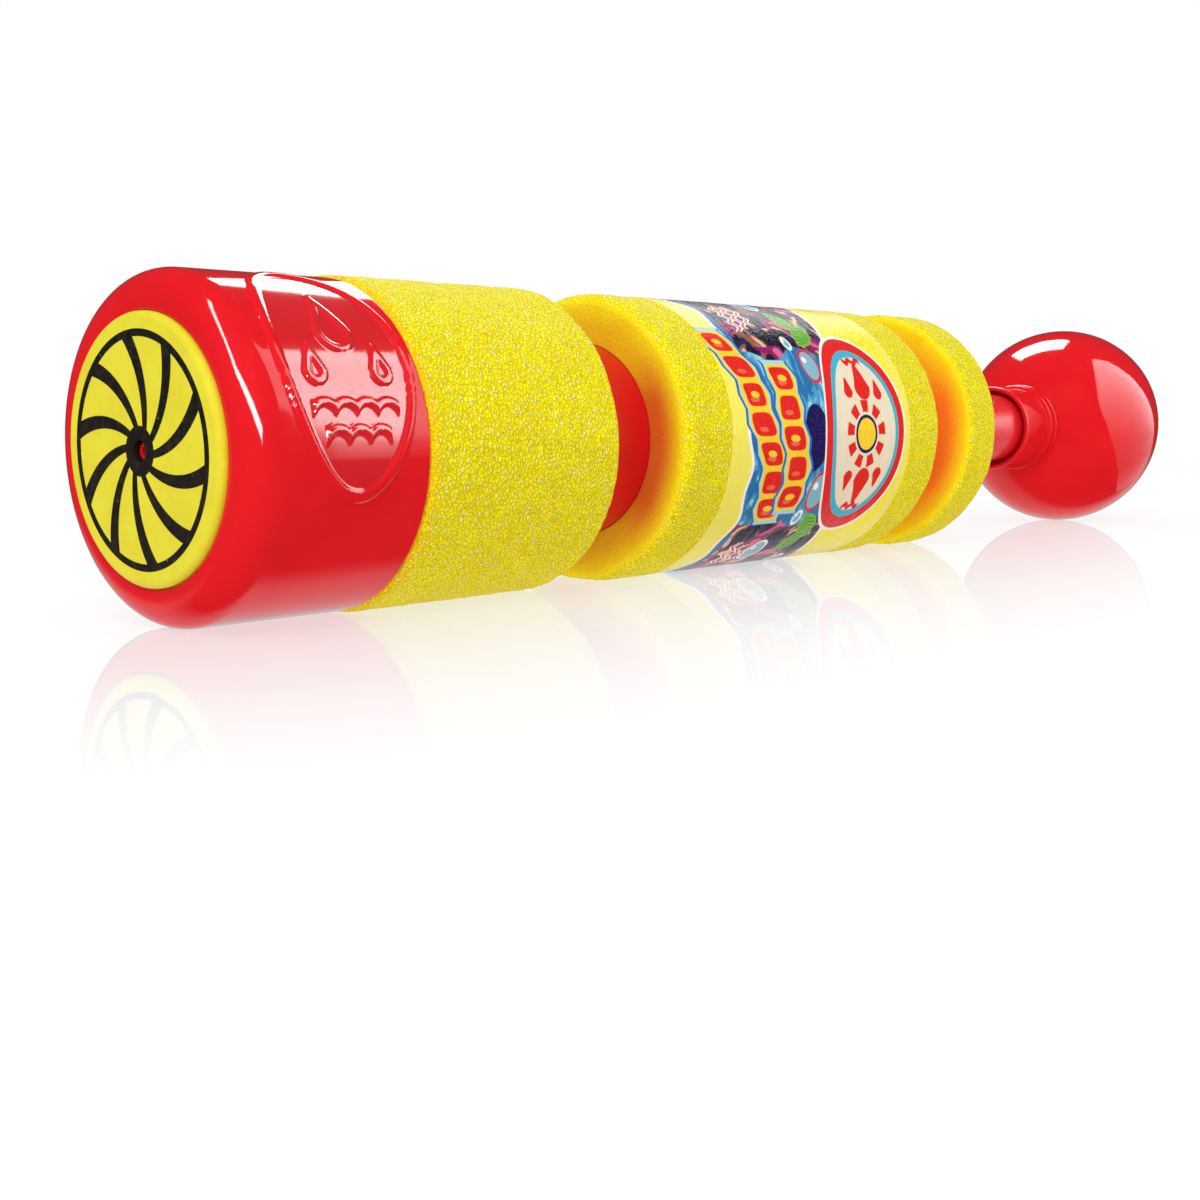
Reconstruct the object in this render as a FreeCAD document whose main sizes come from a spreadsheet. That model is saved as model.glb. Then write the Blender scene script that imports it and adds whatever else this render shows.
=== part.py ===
"""Hand-pumped foam water squirter, lying on its side as it does on a table or a pool edge.

A red barrel tube carries three yellow foam sleeves and a hard nozzle cap with a flat yellow face disc.
A plunger with a ball knob slides in the barrel: pulling it draws water in through the jet, pushing it squirts.

Every piece is drawn about the X axis, with X = 0 on the face disc and the knob at the far end.
A placement then lifts it to lie on Z = 0, with the origin under the middle of the whole squirter.
Lengths are millimetres.
"""
import FreeCAD, Part
import math
import os

import Sketcher

Vector = FreeCAD.Vector

DRIVING_SIZES = [
    # fits
    ("snug_gap", 0.1, "around pieces that are pushed together and stay put"),
    ("slip_gap", 0.3, "around pieces that slide or turn past each other"),
    ("seal_gap", 0.05, "between a rubber seal and the wall it wipes"),
    ("moulded_bite", 0.55, "how deep ribs and badge reach into the cap's wall"),
    # foam sleeves and the label round the middle one
    ("foam_radius", 30.0, "outer radius of all three foam sleeves"),
    ("foam_edge_bevel", 1.0, "soft edge at the ends of each sleeve"),
    ("rest_flat_depth", 0.5, "how far the foam squashes where it lies on the floor"),
    ("front_foam_length", 47.0, "sleeve behind the nozzle cap"),
    ("finger_gap_length", 19.6, "bare barrel between the front and middle sleeves"),
    ("middle_foam_length", 97.4, "sleeve that carries the label"),
    ("rear_gap_length", 14.4, "bare barrel between the middle and rear sleeves"),
    ("rear_foam_length", 13.6, "short ring at the tail"),
    ("label_length", 68.5, "clear wrap, centred on the middle sleeve"),
    ("label_thickness", 0.2, "film thickness, sunk into the foam"),
    # barrel
    ("barrel_radius", 20.0, "outer radius of the tube"),
    ("barrel_wall", 1.6, "tube wall"),
    # nozzle cap
    ("cap_length", 35.1, "from the cap's face to its rear rim"),
    ("cap_wall", 2.2, "skirt wall"),
    ("cap_front_wall", 2.5, "wall behind the disc seat"),
    ("cap_edge_round", 5.0, "soft front edge"),
    ("cap_rear_bevel", 0.7, "edge of the rear rim"),
    ("cap_socket_length", 18.0, "collar inside the cap that grips the barrel"),
    ("cap_socket_wall", 2.0, "wall of that collar"),
    ("cap_rib_count", 8, "ribs between the collar and the skirt"),
    ("cap_rib_length", 15.0, "how far each rib runs back"),
    ("cap_rib_thickness", 1.6, "rib thickness"),
    # raised oval badge on the side of the cap
    ("badge_station", 20.2, "badge centre behind the cap's face"),
    ("badge_half_width", 13.2, "half of the oval, along the barrel"),
    ("badge_half_height", 21.5, "half of the oval, across the barrel"),
    ("badge_tilt", 31.0, "degrees that the badge looks up from level"),
    ("badge_rim_width", 1.4, "width of the raised oval rim"),
    ("badge_relief", 0.5, "how far the badge stands out"),
    ("large_drop_radius", 3.6, "round end of the large water drop on the badge"),
    ("small_drop_radius", 2.16, "round end of the two small drops"),
    ("drop_tip_reach", 2.5, "height of a drop's tip, in radii of its round end"),
    ("large_drop_rise", 0.2, "above the badge's centre, as a share of its half height"),
    ("small_drop_fall", 0.14, "below the centre, as a share of the half height"),
    ("small_drop_spread", 0.5, "to each side, as a share of the half width"),
    ("upper_wave_fall", 0.44, "below the centre, as a share of the half height"),
    ("lower_wave_fall", 0.63, "below the centre, as a share of the half height"),
    ("upper_wave_count", 4, "waves in the upper line"),
    ("lower_wave_count", 3, "waves in the lower line"),
    ("wave_pitch", 4.2, "length of one wave"),
    ("wave_width", 1.2, "width of the wave's line"),
    # face disc and its printed wheel
    ("cap_face_width", 7.0, "ring of the cap's face round the disc"),
    ("disc_thickness", 2.8, "disc thickness"),
    ("disc_proud", 1.3, "how far the disc stands out of the cap"),
    ("disc_edge_bevel", 0.7, "soft edge of the disc"),
    ("disc_hole_radius", 1.8, "hole that the spout shoots through"),
    ("print_depth", 0.3, "the black wheel is let into the disc this deep"),
    ("print_margin", 2.9, "bare yellow rim round the black ring"),
    ("print_ring_width", 1.2, "width of the black ring"),
    ("print_hub_radius", 4.1, "black hub"),
    ("spoke_count", 10, "curved spokes"),
    ("spoke_sweep", 32.0, "degrees that a spoke turns from hub to ring"),
    ("spoke_phase", 98.0, "degrees at which the first spoke meets the ring"),
    ("spoke_hub_width", 1.3, "spoke width at the hub"),
    ("spoke_rim_width", 3.0, "spoke width at the ring"),
    ("spoke_bow", 0.07, "extra turn halfway along a spoke, as a share of the sweep"),
    # plug with the jet, in the barrel's front end
    ("plug_flange_thickness", 2.0, "flange between the cap's front wall and the barrel"),
    ("plug_spigot_length", 7.0, "part that enters the barrel"),
    ("plug_wall", 2.6, "wall of that part"),
    ("plug_seal_width", 2.2, "square section of the ring that seals it"),
    ("spout_radius", 1.5, "outside of the spout"),
    ("spout_setback", 1.0, "spout tip behind the disc's face"),
    ("jet_radius", 0.8, "jet hole"),
    ("jet_throat_radius", 3.0, "wider inner end of the jet hole"),
    # bush in the barrel's rear end
    ("bush_flange_radius", 22.6, "flange that holds the rear sleeve on"),
    ("bush_flange_thickness", 2.5, "flange thickness"),
    ("bush_edge_bevel", 0.8, "edge of the flange"),
    ("bush_spigot_length", 12.0, "part that enters the barrel"),
    ("vent_count", 4, "air slots along the bush's bore"),
    ("vent_width", 2.4, "slot width"),
    ("vent_depth", 1.8, "slot depth"),
    # plunger rod
    ("rod_radius", 9.6, "outer radius of the rod tube"),
    ("rod_wall", 1.3, "rod wall"),
    ("rod_showing", 49.2, "rod in view between the bush and the knob, as it lies"),
    ("rod_socket_depth", 17.0, "length of rod inside the knob's neck"),
    # piston on the rod's front end
    ("piston_edge_gap", 0.5, "between the hard piston discs and the barrel"),
    ("piston_nose_gap", 1.0, "left in front of the piston when it is pushed home"),
    ("stop_gap", 0.5, "left at each end of the plunger's travel"),
    ("clamp_thickness", 3.4, "front disc that clamps the seal"),
    ("seal_length", 5.0, "rubber seal along the barrel"),
    ("seal_waist_depth", 1.2, "hollow between the seal's two lips"),
    ("seal_lip_slope", 0.35, "along the barrel, from the waist up to a lip"),
    ("seal_lip_width", 0.8, "part of each lip that wipes the barrel"),
    ("piston_hub_radius", 12.0, "hub that the seal sits round"),
    ("piston_flange_thickness", 3.5, "disc behind the seal"),
    ("piston_stem_length", 15.0, "stem inside the rod"),
    ("screw_radius", 1.95, "screw through the clamp into the piston"),
    ("screw_length", 18.0, "under the head"),
    ("screw_head_radius", 3.8, "pan head"),
    ("screw_head_height", 2.2, "pan head"),
    ("screw_head_bevel", 0.7, "edge of the head"),
    ("stop_ring_length", 8.0, "soft ring that meets the bush at full draw"),
    ("stop_ring_radius", 15.0, "outer radius of that ring"),
    ("stop_ring_bevel", 1.0, "edge of the end that meets the bush"),
    # knob
    ("neck_tip_radius", 12.0, "front end of the neck, round the rod"),
    ("neck_edge_round", 1.6, "soft front edge of the neck"),
    ("neck_waist_radius", 11.3, "the neck narrows to this before the ball"),
    ("neck_ring_radius", 12.1, "low ring where the neck meets the ball"),
    ("neck_ring_width", 1.4, "width of that ring"),
    ("neck_length", 17.8, "from the neck's tip to the ball's skin"),
    ("knob_floor_gap", 0.1, "the ball just clears the floor"),
    ("knob_wall", 2.2, "wall of the hollow ball"),
    ("knob_hollow_step", 15.0, "degrees spanned by each straight belt of the hollow, which nobody sees"),
    ("knob_throat_radius", 7.4, "opening from the rod socket into the hollow"),
]

doc = FreeCAD.newDocument("water_squirter")
sheet = doc.addObject("Spreadsheet::Sheet", "sizes")
for row, (alias, number, note) in enumerate(DRIVING_SIZES, start=1):
    sheet.set(f"A{row}", alias)
    sheet.set(f"B{row}", str(number))
    sheet.set(f"C{row}", note)
    sheet.setAlias(f"B{row}", alias)
doc.recompute()


class Size:
    """A number together with the expression over the sheet's cells that gives it."""

    def __init__(self, number, text):
        self.number = float(number)
        self.text = text

    def _with(self, other, sign, number):
        text = other.text if isinstance(other, Size) else repr(other)
        return Size(number, f"({self.text} {sign} {text})")

    def __add__(self, other):
        return self._with(other, "+", self.number + float(other))

    def __sub__(self, other):
        return self._with(other, "-", self.number - float(other))

    def __mul__(self, other):
        return self._with(other, "*", self.number * float(other))

    def __truediv__(self, other):
        return self._with(other, "/", self.number / float(other))

    def __float__(self):
        return self.number


def cell(alias):
    return Size(sheet.get(alias), f"sizes.{alias}")


def square_root(size):
    return Size(math.sqrt(size.number), f"sqrt({size.text})")


def on_sphere(radius, distance_from_axis):
    """Distance along the axis from a sphere's centre to its circle at that distance from the axis."""
    return square_root(radius * radius - distance_from_axis * distance_from_axis)


ZERO = Size(0, "0")
SAME = 0.01  # places closer than this are one place
SNUG = cell("snug_gap")
SLIP = cell("slip_gap")

# stations along the barrel, counted from the face disc
CAP_FACE = cell("disc_proud")
SEAT_FLOOR = cell("disc_thickness")
CAP_INSIDE = SEAT_FLOOR + cell("cap_front_wall")
CAP_REAR = CAP_FACE + cell("cap_length")
FRONT_FOAM_REAR = CAP_REAR + cell("front_foam_length")
MIDDLE_FOAM_FRONT = FRONT_FOAM_REAR + cell("finger_gap_length")
MIDDLE_FOAM_REAR = MIDDLE_FOAM_FRONT + cell("middle_foam_length")
REAR_FOAM_FRONT = MIDDLE_FOAM_REAR + cell("rear_gap_length")
BARREL_REAR = REAR_FOAM_FRONT + cell("rear_foam_length")
BUSH_REAR = BARREL_REAR + cell("bush_flange_thickness")
BUSH_FRONT = BARREL_REAR - cell("bush_spigot_length")
PLUG_FRONT = CAP_INSIDE
BARREL_FRONT = PLUG_FRONT + cell("plug_flange_thickness")
PLUG_REAR = BARREL_FRONT + cell("plug_spigot_length")

# the plunger, as it lies partly drawn
NECK_TIP = BUSH_REAR + cell("rod_showing")
PUSH_TRAVEL = cell("rod_showing") - cell("stop_gap")
PISTON_FRONT = PLUG_REAR + cell("piston_nose_gap") + PUSH_TRAVEL
SEAL_FRONT = PISTON_FRONT + cell("clamp_thickness")
SEAL_REAR = SEAL_FRONT + cell("seal_length")
ROD_FRONT = SEAL_REAR + cell("piston_flange_thickness")
STOP_RING_REAR = ROD_FRONT + cell("stop_ring_length")
DRAW_TRAVEL = BUSH_FRONT - STOP_RING_REAR - cell("stop_gap")
ROD_REAR = NECK_TIP + cell("rod_socket_depth")

# radii that follow from others
AXIS_HEIGHT = cell("foam_radius") - cell("rest_flat_depth")
CAP_RADIUS = AXIS_HEIGHT
SEAT_RADIUS = CAP_RADIUS - cell("cap_face_width")
DISC_RADIUS = SEAT_RADIUS - SNUG
PRINT_RADIUS = DISC_RADIUS - cell("print_margin")
KNOB_RADIUS = AXIS_HEIGHT - cell("knob_floor_gap")
FOAM_BORE = cell("barrel_radius") + SNUG
BARREL_BORE = cell("barrel_radius") - cell("barrel_wall")
SPIGOT_RADIUS = BARREL_BORE - SNUG
PISTON_RADIUS = BARREL_BORE - cell("piston_edge_gap")
ROD_BORE = cell("rod_radius") - cell("rod_wall")
LABEL_BORE = cell("foam_radius") - cell("label_thickness")
NECK_REAR = NECK_TIP + cell("neck_length")
KNOB_CENTRE = NECK_REAR + on_sphere(KNOB_RADIUS, cell("neck_ring_radius"))
SQUIRTER_LENGTH = KNOB_CENTRE + KNOB_RADIUS


def lay_down(item, station=ZERO):
    """Puts the origin under the middle of the squirter, with its axis at the height of the squashed foam."""
    item.setExpression("Placement.Base.x", f"{station.text} - {SQUIRTER_LENGTH.text} / 2")
    item.setExpression("Placement.Base.z", AXIS_HEIGHT.text)


def new_body(label):
    body = doc.addObject("PartDesign::Body", label)
    body.Label = label
    lay_down(body)
    return body


def new_sketch(body, name, plane):
    """A sketch on one of the body's own origin planes."""
    sketch = body.newObject("Sketcher::SketchObject", name)
    support = [part for part in body.Origin.OriginFeatures if part.Role == plane][0]
    sketch.AttachmentSupport = [(support, "")]
    sketch.MapMode = "FlatFace"
    return sketch


def pin_point(sketch, edge, end, across, up):
    """Holds one end of a sketch edge at a place worked out from the sheet."""
    for kind, size in (("DistanceX", across), ("DistanceY", up)):
        constraint = Sketcher.Constraint(kind, -1, 1, edge, end, float(size))
        number = sketch.addConstraint(constraint)
        sketch.setExpression(f"Constraints[{number}]", size.text)


def draw_outline(sketch, corners, arc_centres=None):
    """A closed outline through the corners. Edges named in arc_centres bulge away from the axis, about it."""
    arc_centres = arc_centres or {}
    points = [Vector(float(x), float(r), 0) for x, r in corners]
    for edge, start in enumerate(points):
        end = points[(edge + 1) % len(points)]
        if edge not in arc_centres:
            sketch.addGeometry(Part.LineSegment(start, end), False)
            pin_point(sketch, edge, 1, *corners[edge])
            continue
        centre = Vector(float(arc_centres[edge]), 0, 0)
        circle = Part.Circle(centre, Vector(0, 0, 1), (start - centre).Length)
        angles = sorted((circle.parameter(start), circle.parameter(end)))
        sketch.addGeometry(Part.ArcOfCircle(circle, *angles), False)
        sketch.addConstraint(Sketcher.Constraint("PointOnObject", edge, 3, -1))
    for edge in range(len(points)):
        following = (edge + 1) % len(points)
        tail = 1 if edge in arc_centres and points[edge].x < points[following].x else 2
        head = 1
        if following in arc_centres:
            after = (following + 1) % len(points)
            head = 2 if points[following].x < points[after].x else 1
        sketch.addConstraint(Sketcher.Constraint("Coincident", edge, tail, following, head))
        if following in arc_centres:
            pin_point(sketch, following, head, *corners[following])


def turned(label, corners, arc_centres=None):
    """A body turned about the barrel's axis from an outline of (station, radius) corners."""
    body = new_body(label)
    sketch = new_sketch(body, f"{label}_outline", "XZ_Plane")
    draw_outline(sketch, corners, arc_centres)
    doc.recompute()
    turn = body.newObject("PartDesign::Revolution", f"{label}_turn")
    turn.Profile = (sketch, [""])
    turn.ReferenceAxis = (sketch, ["H_Axis"])
    turn.Angle = 360
    sketch.Visibility = False
    doc.recompute()
    return body


def tube(label, front, rear, bore, radius):
    return turned(label, [(front, bore), (rear, bore), (rear, radius), (front, radius)])


def rims(shape, *places):
    """Names of the circular edges at the given (station, radius) places."""
    names = []
    for number, edge in enumerate(shape.Edges, start=1):
        if edge.Degenerated or not isinstance(edge.Curve, Part.Circle):
            continue
        centre, radius = edge.Curve.Center, edge.Curve.Radius
        for x, r in places:
            if abs(centre.x - float(x)) < SAME and abs(radius - float(r)) < SAME:
                names.append(f"Edge{number}")
    return names


def ease_edges(body, name, kind, size, *places):
    """Rounds (kind Fillet) or bevels (kind Chamfer) the rims at those places, by a size held in the sheet."""
    base = body.Tip
    easing = body.newObject(f"PartDesign::{kind}", name)
    easing.Base = (base, rims(base.Shape, *places))
    easing.setExpression({"Fillet": "Radius", "Chamfer": "Size"}[kind], size.text)
    doc.recompute()


def repeat_round_axis(body, name, feature, count):
    """Copies a feature evenly round the barrel's axis."""
    axis = [part for part in body.Origin.OriginFeatures if part.Role == "X_Axis"][0]
    pattern = body.newObject("PartDesign::PolarPattern", name)
    pattern.Originals = [feature]
    pattern.Axis = (axis, [""])
    pattern.Angle = 360
    pattern.Occurrences = int(float(count))
    pattern.setExpression("Occurrences", count.text)
    body.Tip = pattern
    doc.recompute()


def flatten_underside(body, front, rear):
    """Cuts the narrow strip on which the squashed foam lies."""
    sketch = new_sketch(body, f"{body.Label}_strip", "XY_Plane")
    side = cell("foam_radius")
    low = Size(-float(side), f"-{side.text}")
    draw_outline(sketch, [(front, low), (rear, low), (rear, side), (front, side)])
    sketch.setExpression("AttachmentOffset.Base.z", f"-{AXIS_HEIGHT.text}")
    doc.recompute()
    pocket = body.newObject("PartDesign::Pocket", f"{body.Label}_flat")
    pocket.Profile = (sketch, [""])
    pocket.Type = "ThroughAll"
    sketch.Visibility = False
    doc.recompute()


def foam_sleeve(label, front, rear):
    sleeve = tube(label, front, rear, FOAM_BORE, cell("foam_radius"))
    ends = [(front, cell("foam_radius")), (rear, cell("foam_radius"))]
    ease_edges(sleeve, f"{label}_soft_edges", "Chamfer", cell("foam_edge_bevel"), *ends)
    return sleeve


def make_end_sleeves():
    for label, front, rear in (
        ("front_foam", CAP_REAR, FRONT_FOAM_REAR),
        ("rear_foam", REAR_FOAM_FRONT, BARREL_REAR),
    ):
        flatten_underside(foam_sleeve(label, front, rear), front, rear)


def make_middle_sleeve_and_label():
    """The clear wrap presses a shallow seat into the sleeve, and stops short of the strip that lies down."""
    sleeve = foam_sleeve("middle_foam", MIDDLE_FOAM_FRONT, MIDDLE_FOAM_REAR)
    middle = (MIDDLE_FOAM_FRONT + MIDDLE_FOAM_REAR) / 2
    front = middle - cell("label_length") / 2
    rear = middle + cell("label_length") / 2
    outside = cell("foam_radius")
    seat_sketch = new_sketch(sleeve, "label_seat_outline", "XZ_Plane")
    beyond = outside + cell("label_thickness")
    draw_outline(seat_sketch, [(front, LABEL_BORE), (rear, LABEL_BORE), (rear, beyond), (front, beyond)])
    doc.recompute()
    seat = sleeve.newObject("PartDesign::Groove", "label_seat")
    seat.Profile = (seat_sketch, [""])
    seat.ReferenceAxis = (seat_sketch, ["H_Axis"])
    seat.Angle = 360
    seat_sketch.Visibility = False
    doc.recompute()
    flatten_underside(sleeve, MIDDLE_FOAM_FRONT, MIDDLE_FOAM_REAR)
    label = tube("label_film", front, rear, LABEL_BORE, outside)
    flatten_underside(label, front, rear)


def make_barrel():
    tube("barrel", BARREL_FRONT, BARREL_REAR, BARREL_BORE, cell("barrel_radius"))


def make_cap_shell():
    """The moulded cap before its badge: skirt, seat for the disc, barrel collar and ribs."""
    skirt_bore = CAP_RADIUS - cell("cap_wall")
    spout_hole = cell("spout_radius") + SNUG
    collar_bore = cell("barrel_radius") + SNUG
    collar_radius = collar_bore + cell("cap_socket_wall")
    collar_rear = CAP_INSIDE + cell("cap_socket_length")
    shell = turned(
        "cap_shell",
        [
            (SEAT_FLOOR, spout_hole),
            (SEAT_FLOOR, SEAT_RADIUS),
            (CAP_FACE, SEAT_RADIUS),
            (CAP_FACE, CAP_RADIUS),
            (CAP_REAR, CAP_RADIUS),
            (CAP_REAR, skirt_bore),
            (CAP_INSIDE, skirt_bore),
            (CAP_INSIDE, collar_radius),
            (collar_rear, collar_radius),
            (collar_rear, collar_bore),
            (CAP_INSIDE, collar_bore),
            (CAP_INSIDE, spout_hole),
        ],
    )
    ease_edges(shell, "cap_front_edge", "Fillet", cell("cap_edge_round"), (CAP_FACE, CAP_RADIUS))
    ease_edges(shell, "cap_rear_edge", "Chamfer", cell("cap_rear_bevel"), (CAP_REAR, CAP_RADIUS))
    rib_sketch = new_sketch(shell, "cap_rib_outline", "XZ_Plane")
    bite = cell("moulded_bite")
    rib_rear = CAP_INSIDE + cell("cap_rib_length")
    draw_outline(
        rib_sketch,
        [
            (CAP_INSIDE - bite, collar_radius - bite),
            (rib_rear, collar_radius - bite),
            (rib_rear, skirt_bore + bite),
            (CAP_INSIDE - bite, skirt_bore + bite),
        ],
    )
    doc.recompute()
    rib = shell.newObject("PartDesign::Pad", "cap_rib")
    rib.Profile = (rib_sketch, [""])
    rib.Midplane = True
    rib.setExpression("Length", cell("cap_rib_thickness").text)
    rib_sketch.Visibility = False
    doc.recompute()
    repeat_round_axis(shell, "cap_ribs", rib, cell("cap_rib_count"))
    return shell


def drop_wire(middle, radius):
    """A water drop on the XY plane, round below and pointed above."""
    tip_height = radius * float(cell("drop_tip_reach"))
    touch = math.asin(radius / tip_height)
    tip = middle + Vector(0, tip_height, 0)
    right = middle + Vector(radius * math.cos(touch), radius * math.sin(touch), 0)
    left = middle + Vector(-radius * math.cos(touch), radius * math.sin(touch), 0)
    bottom = middle + Vector(0, -radius, 0)
    round_end = Part.Arc(right, bottom, left).toShape()
    return Part.Wire([Part.makeLine(tip, right), round_end, Part.makeLine(left, tip)])


def wave_wire(middle, pitch, count, width):
    """A band of equal round waves along X, centred on the middle."""
    start = middle - Vector(pitch * count / 2, 0, 0)
    lines = []
    for lift in (0, width):
        edges = []
        for number in range(count):
            low = start + Vector(number * pitch, lift, 0)
            crest = low + Vector(pitch / 2, pitch / 4, 0)
            edges.append(Part.Arc(low, crest, low + Vector(pitch, 0, 0)).toShape())
        lines.append(edges)
    rise = Vector(0, width, 0)
    finish = start + Vector(pitch * count, 0, 0)
    ends = [Part.makeLine(start, start + rise), Part.makeLine(finish, finish + rise)]
    return Part.Wire(Part.__sortEdges__(lines[0] + lines[1] + ends))


def badge_prisms():
    """The badge drawn flat: an oval rim with three water drops over two lines of waves.

    X runs along the barrel and Y up the badge. Each outline is a prism that reaches past the cap's skin.
    """
    width = float(cell("badge_half_width"))
    height = float(cell("badge_half_height"))
    large = float(cell("large_drop_radius"))
    small = float(cell("small_drop_radius"))
    aside = width * float(cell("small_drop_spread"))
    pitch = float(cell("wave_pitch"))
    line = float(cell("wave_width"))
    outward = Vector(0, 0, float(CAP_RADIUS + cell("badge_relief") * 2))
    ovals = []
    for inset in (0, float(cell("badge_rim_width"))):
        ellipse = Part.Wire(Part.Ellipse(Vector(), height - inset, width - inset).toShape())
        ellipse.rotate(Vector(), Vector(0, 0, 1), 90)
        ovals.append(Part.Face(ellipse).extrude(outward))
    outside, inside = ovals
    small_drop_y = -height * float(cell("small_drop_fall"))
    drawn = [
        drop_wire(Vector(0, height * float(cell("large_drop_rise")), 0), large),
        drop_wire(Vector(-aside, small_drop_y, 0), small),
        drop_wire(Vector(aside, small_drop_y, 0), small),
    ]
    for place in ("upper", "lower"):
        middle = Vector(0, -height * float(cell(f"{place}_wave_fall")), 0)
        count = int(float(cell(f"{place}_wave_count")))
        drawn.append(wave_wire(middle, pitch, count, line))
    return [outside.cut(inside)] + [Part.Face(wire).extrude(outward) for wire in drawn]


def make_nozzle_cap():
    """The cap with its badge, which follows the round side of the skirt."""
    shell = make_cap_shell()
    relief = doc.addObject("Part::Feature", "badge_prisms")
    relief.Shape = Part.makeCompound(badge_prisms())
    turn = FreeCAD.Rotation(Vector(1, 0, 0), 90 - float(cell("badge_tilt")))
    relief.Placement = FreeCAD.Placement(Vector(), turn)
    lay_down(relief, CAP_FACE + cell("badge_station"))
    skin = doc.addObject("Part::Cylinder", "badge_skin")
    skin.setExpression("Radius", (CAP_RADIUS + cell("badge_relief")).text)
    core = doc.addObject("Part::Cylinder", "badge_core")
    core.setExpression("Radius", (CAP_RADIUS - cell("moulded_bite")).text)
    for cylinder in (skin, core):
        cylinder.setExpression("Height", cell("cap_length").text)
        cylinder.Placement = FreeCAD.Placement(Vector(), FreeCAD.Rotation(Vector(0, 1, 0), 90))
        lay_down(cylinder, CAP_FACE)
    layer = doc.addObject("Part::Cut", "badge_layer")
    layer.Base, layer.Tool = skin, core
    badge = doc.addObject("Part::Common", "badge")
    badge.Base, badge.Tool = layer, relief
    cap = doc.addObject("Part::MultiFuse", "nozzle_cap")
    cap.Shapes = [shell, badge]
    cap.Label = "nozzle_cap"
    doc.recompute()


def spoke_point(radius, angle):
    """A point of the printed wheel, on the disc's face. Angles run as seen from in front of the squirter."""
    turn = math.radians(angle)
    return Vector(0, -radius * math.cos(turn), radius * math.sin(turn))


def spoke_edge(side, first_angle):
    """One long edge of a curved spoke, from the hub to the ring, as an arc through its middle."""
    hub = float(cell("print_hub_radius"))
    ring = float(PRINT_RADIUS - cell("print_ring_width"))
    hub_width = float(cell("spoke_hub_width"))
    rim_width = float(cell("spoke_rim_width"))
    sweep = float(cell("spoke_sweep"))
    bow = float(cell("spoke_bow"))
    points = []
    for share in (0, 0.5, 1):
        radius = hub + (ring - hub) * share
        width = hub_width + (rim_width - hub_width) * share
        lead = share + bow * math.sin(math.pi * share)
        angle = first_angle + sweep * lead + side * math.degrees(width / 2 / radius)
        points.append(spoke_point(radius, angle))
    return Part.Arc(*points).toShape()


def window_wire(first_angle, pitch):
    """The gap between two neighbouring spokes."""
    hub = float(cell("print_hub_radius"))
    ring = float(PRINT_RADIUS - cell("print_ring_width"))
    low = spoke_edge(1, first_angle)
    high = spoke_edge(-1, first_angle + pitch)
    closing = []
    for radius, end in ((hub, 0), (ring, -1)):
        start, stop = low.Vertexes[end].Point, high.Vertexes[end].Point
        middle = (start + stop) / 2
        middle = middle * (radius / middle.Length)
        closing.append(Part.Arc(start, middle, stop).toShape())
    return Part.Wire(Part.__sortEdges__([low, closing[1], high, closing[0]]))


def make_wheel(hole_radius):
    """The black wheel: ring, curved spokes and hub, as a thin plate let into the disc's face.

    Each window is cut by a prism that starts one plate's depth in front of the face and ends as far behind.
    """
    plate = tube("wheel_plate", ZERO, cell("print_depth"), hole_radius, PRINT_RADIUS)
    count = int(float(cell("spoke_count")))
    pitch = 360 / count
    start = float(cell("spoke_phase")) - float(cell("spoke_sweep"))
    depth = Vector(float(cell("print_depth")), 0, 0)
    windows = []
    for number in range(count):
        window = Part.Face(window_wire(start + pitch * number, pitch))
        window.translate(-depth)
        windows.append(window.extrude(depth * 3))
    gaps = doc.addObject("Part::Feature", "wheel_windows")
    gaps.Shape = Part.makeCompound(windows)
    lay_down(gaps)
    wheel = doc.addObject("Part::Cut", "disc_print")
    wheel.Base, wheel.Tool = plate, gaps
    wheel.Label = "disc_print"
    doc.recompute()
    return wheel


def make_face_disc():
    hole_radius = cell("disc_hole_radius")
    edge = DISC_RADIUS
    blank = tube("disc_blank", ZERO, SEAT_FLOOR, hole_radius, edge)
    ease_edges(blank, "disc_edge", "Chamfer", cell("disc_edge_bevel"), (ZERO, edge))
    wheel = make_wheel(hole_radius)
    disc = doc.addObject("Part::Cut", "front_disc")
    disc.Base, disc.Tool = blank, wheel
    disc.Label = "front_disc"
    doc.recompute()


def make_nozzle_plug_and_seal():
    """Closes the barrel's front end. Its spout reaches through the cap into the disc's hole."""
    spout = cell("spout_radius")
    spout_tip = cell("spout_setback")
    jet = cell("jet_radius")
    bore = SPIGOT_RADIUS - cell("plug_wall")
    seal_outside = BARREL_BORE - cell("seal_gap")
    seal_inside = seal_outside - cell("plug_seal_width")
    seal_front = BARREL_FRONT + (cell("plug_spigot_length") - cell("plug_seal_width")) / 2
    seal_rear = seal_front + cell("plug_seal_width")
    turned(
        "nozzle_plug",
        [
            (spout_tip, jet),
            (spout_tip, spout),
            (PLUG_FRONT, spout),
            (PLUG_FRONT, cell("barrel_radius")),
            (BARREL_FRONT, cell("barrel_radius")),
            (BARREL_FRONT, SPIGOT_RADIUS),
            (seal_front - SNUG, SPIGOT_RADIUS),
            (seal_front - SNUG, seal_inside - SNUG),
            (seal_rear + SNUG, seal_inside - SNUG),
            (seal_rear + SNUG, SPIGOT_RADIUS),
            (PLUG_REAR, SPIGOT_RADIUS),
            (PLUG_REAR, bore),
            (BARREL_FRONT, bore),
            (BARREL_FRONT, cell("jet_throat_radius")),
            (PLUG_FRONT, jet),
        ],
    )
    tube("plug_seal", seal_front, seal_rear, seal_inside, seal_outside)


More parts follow.
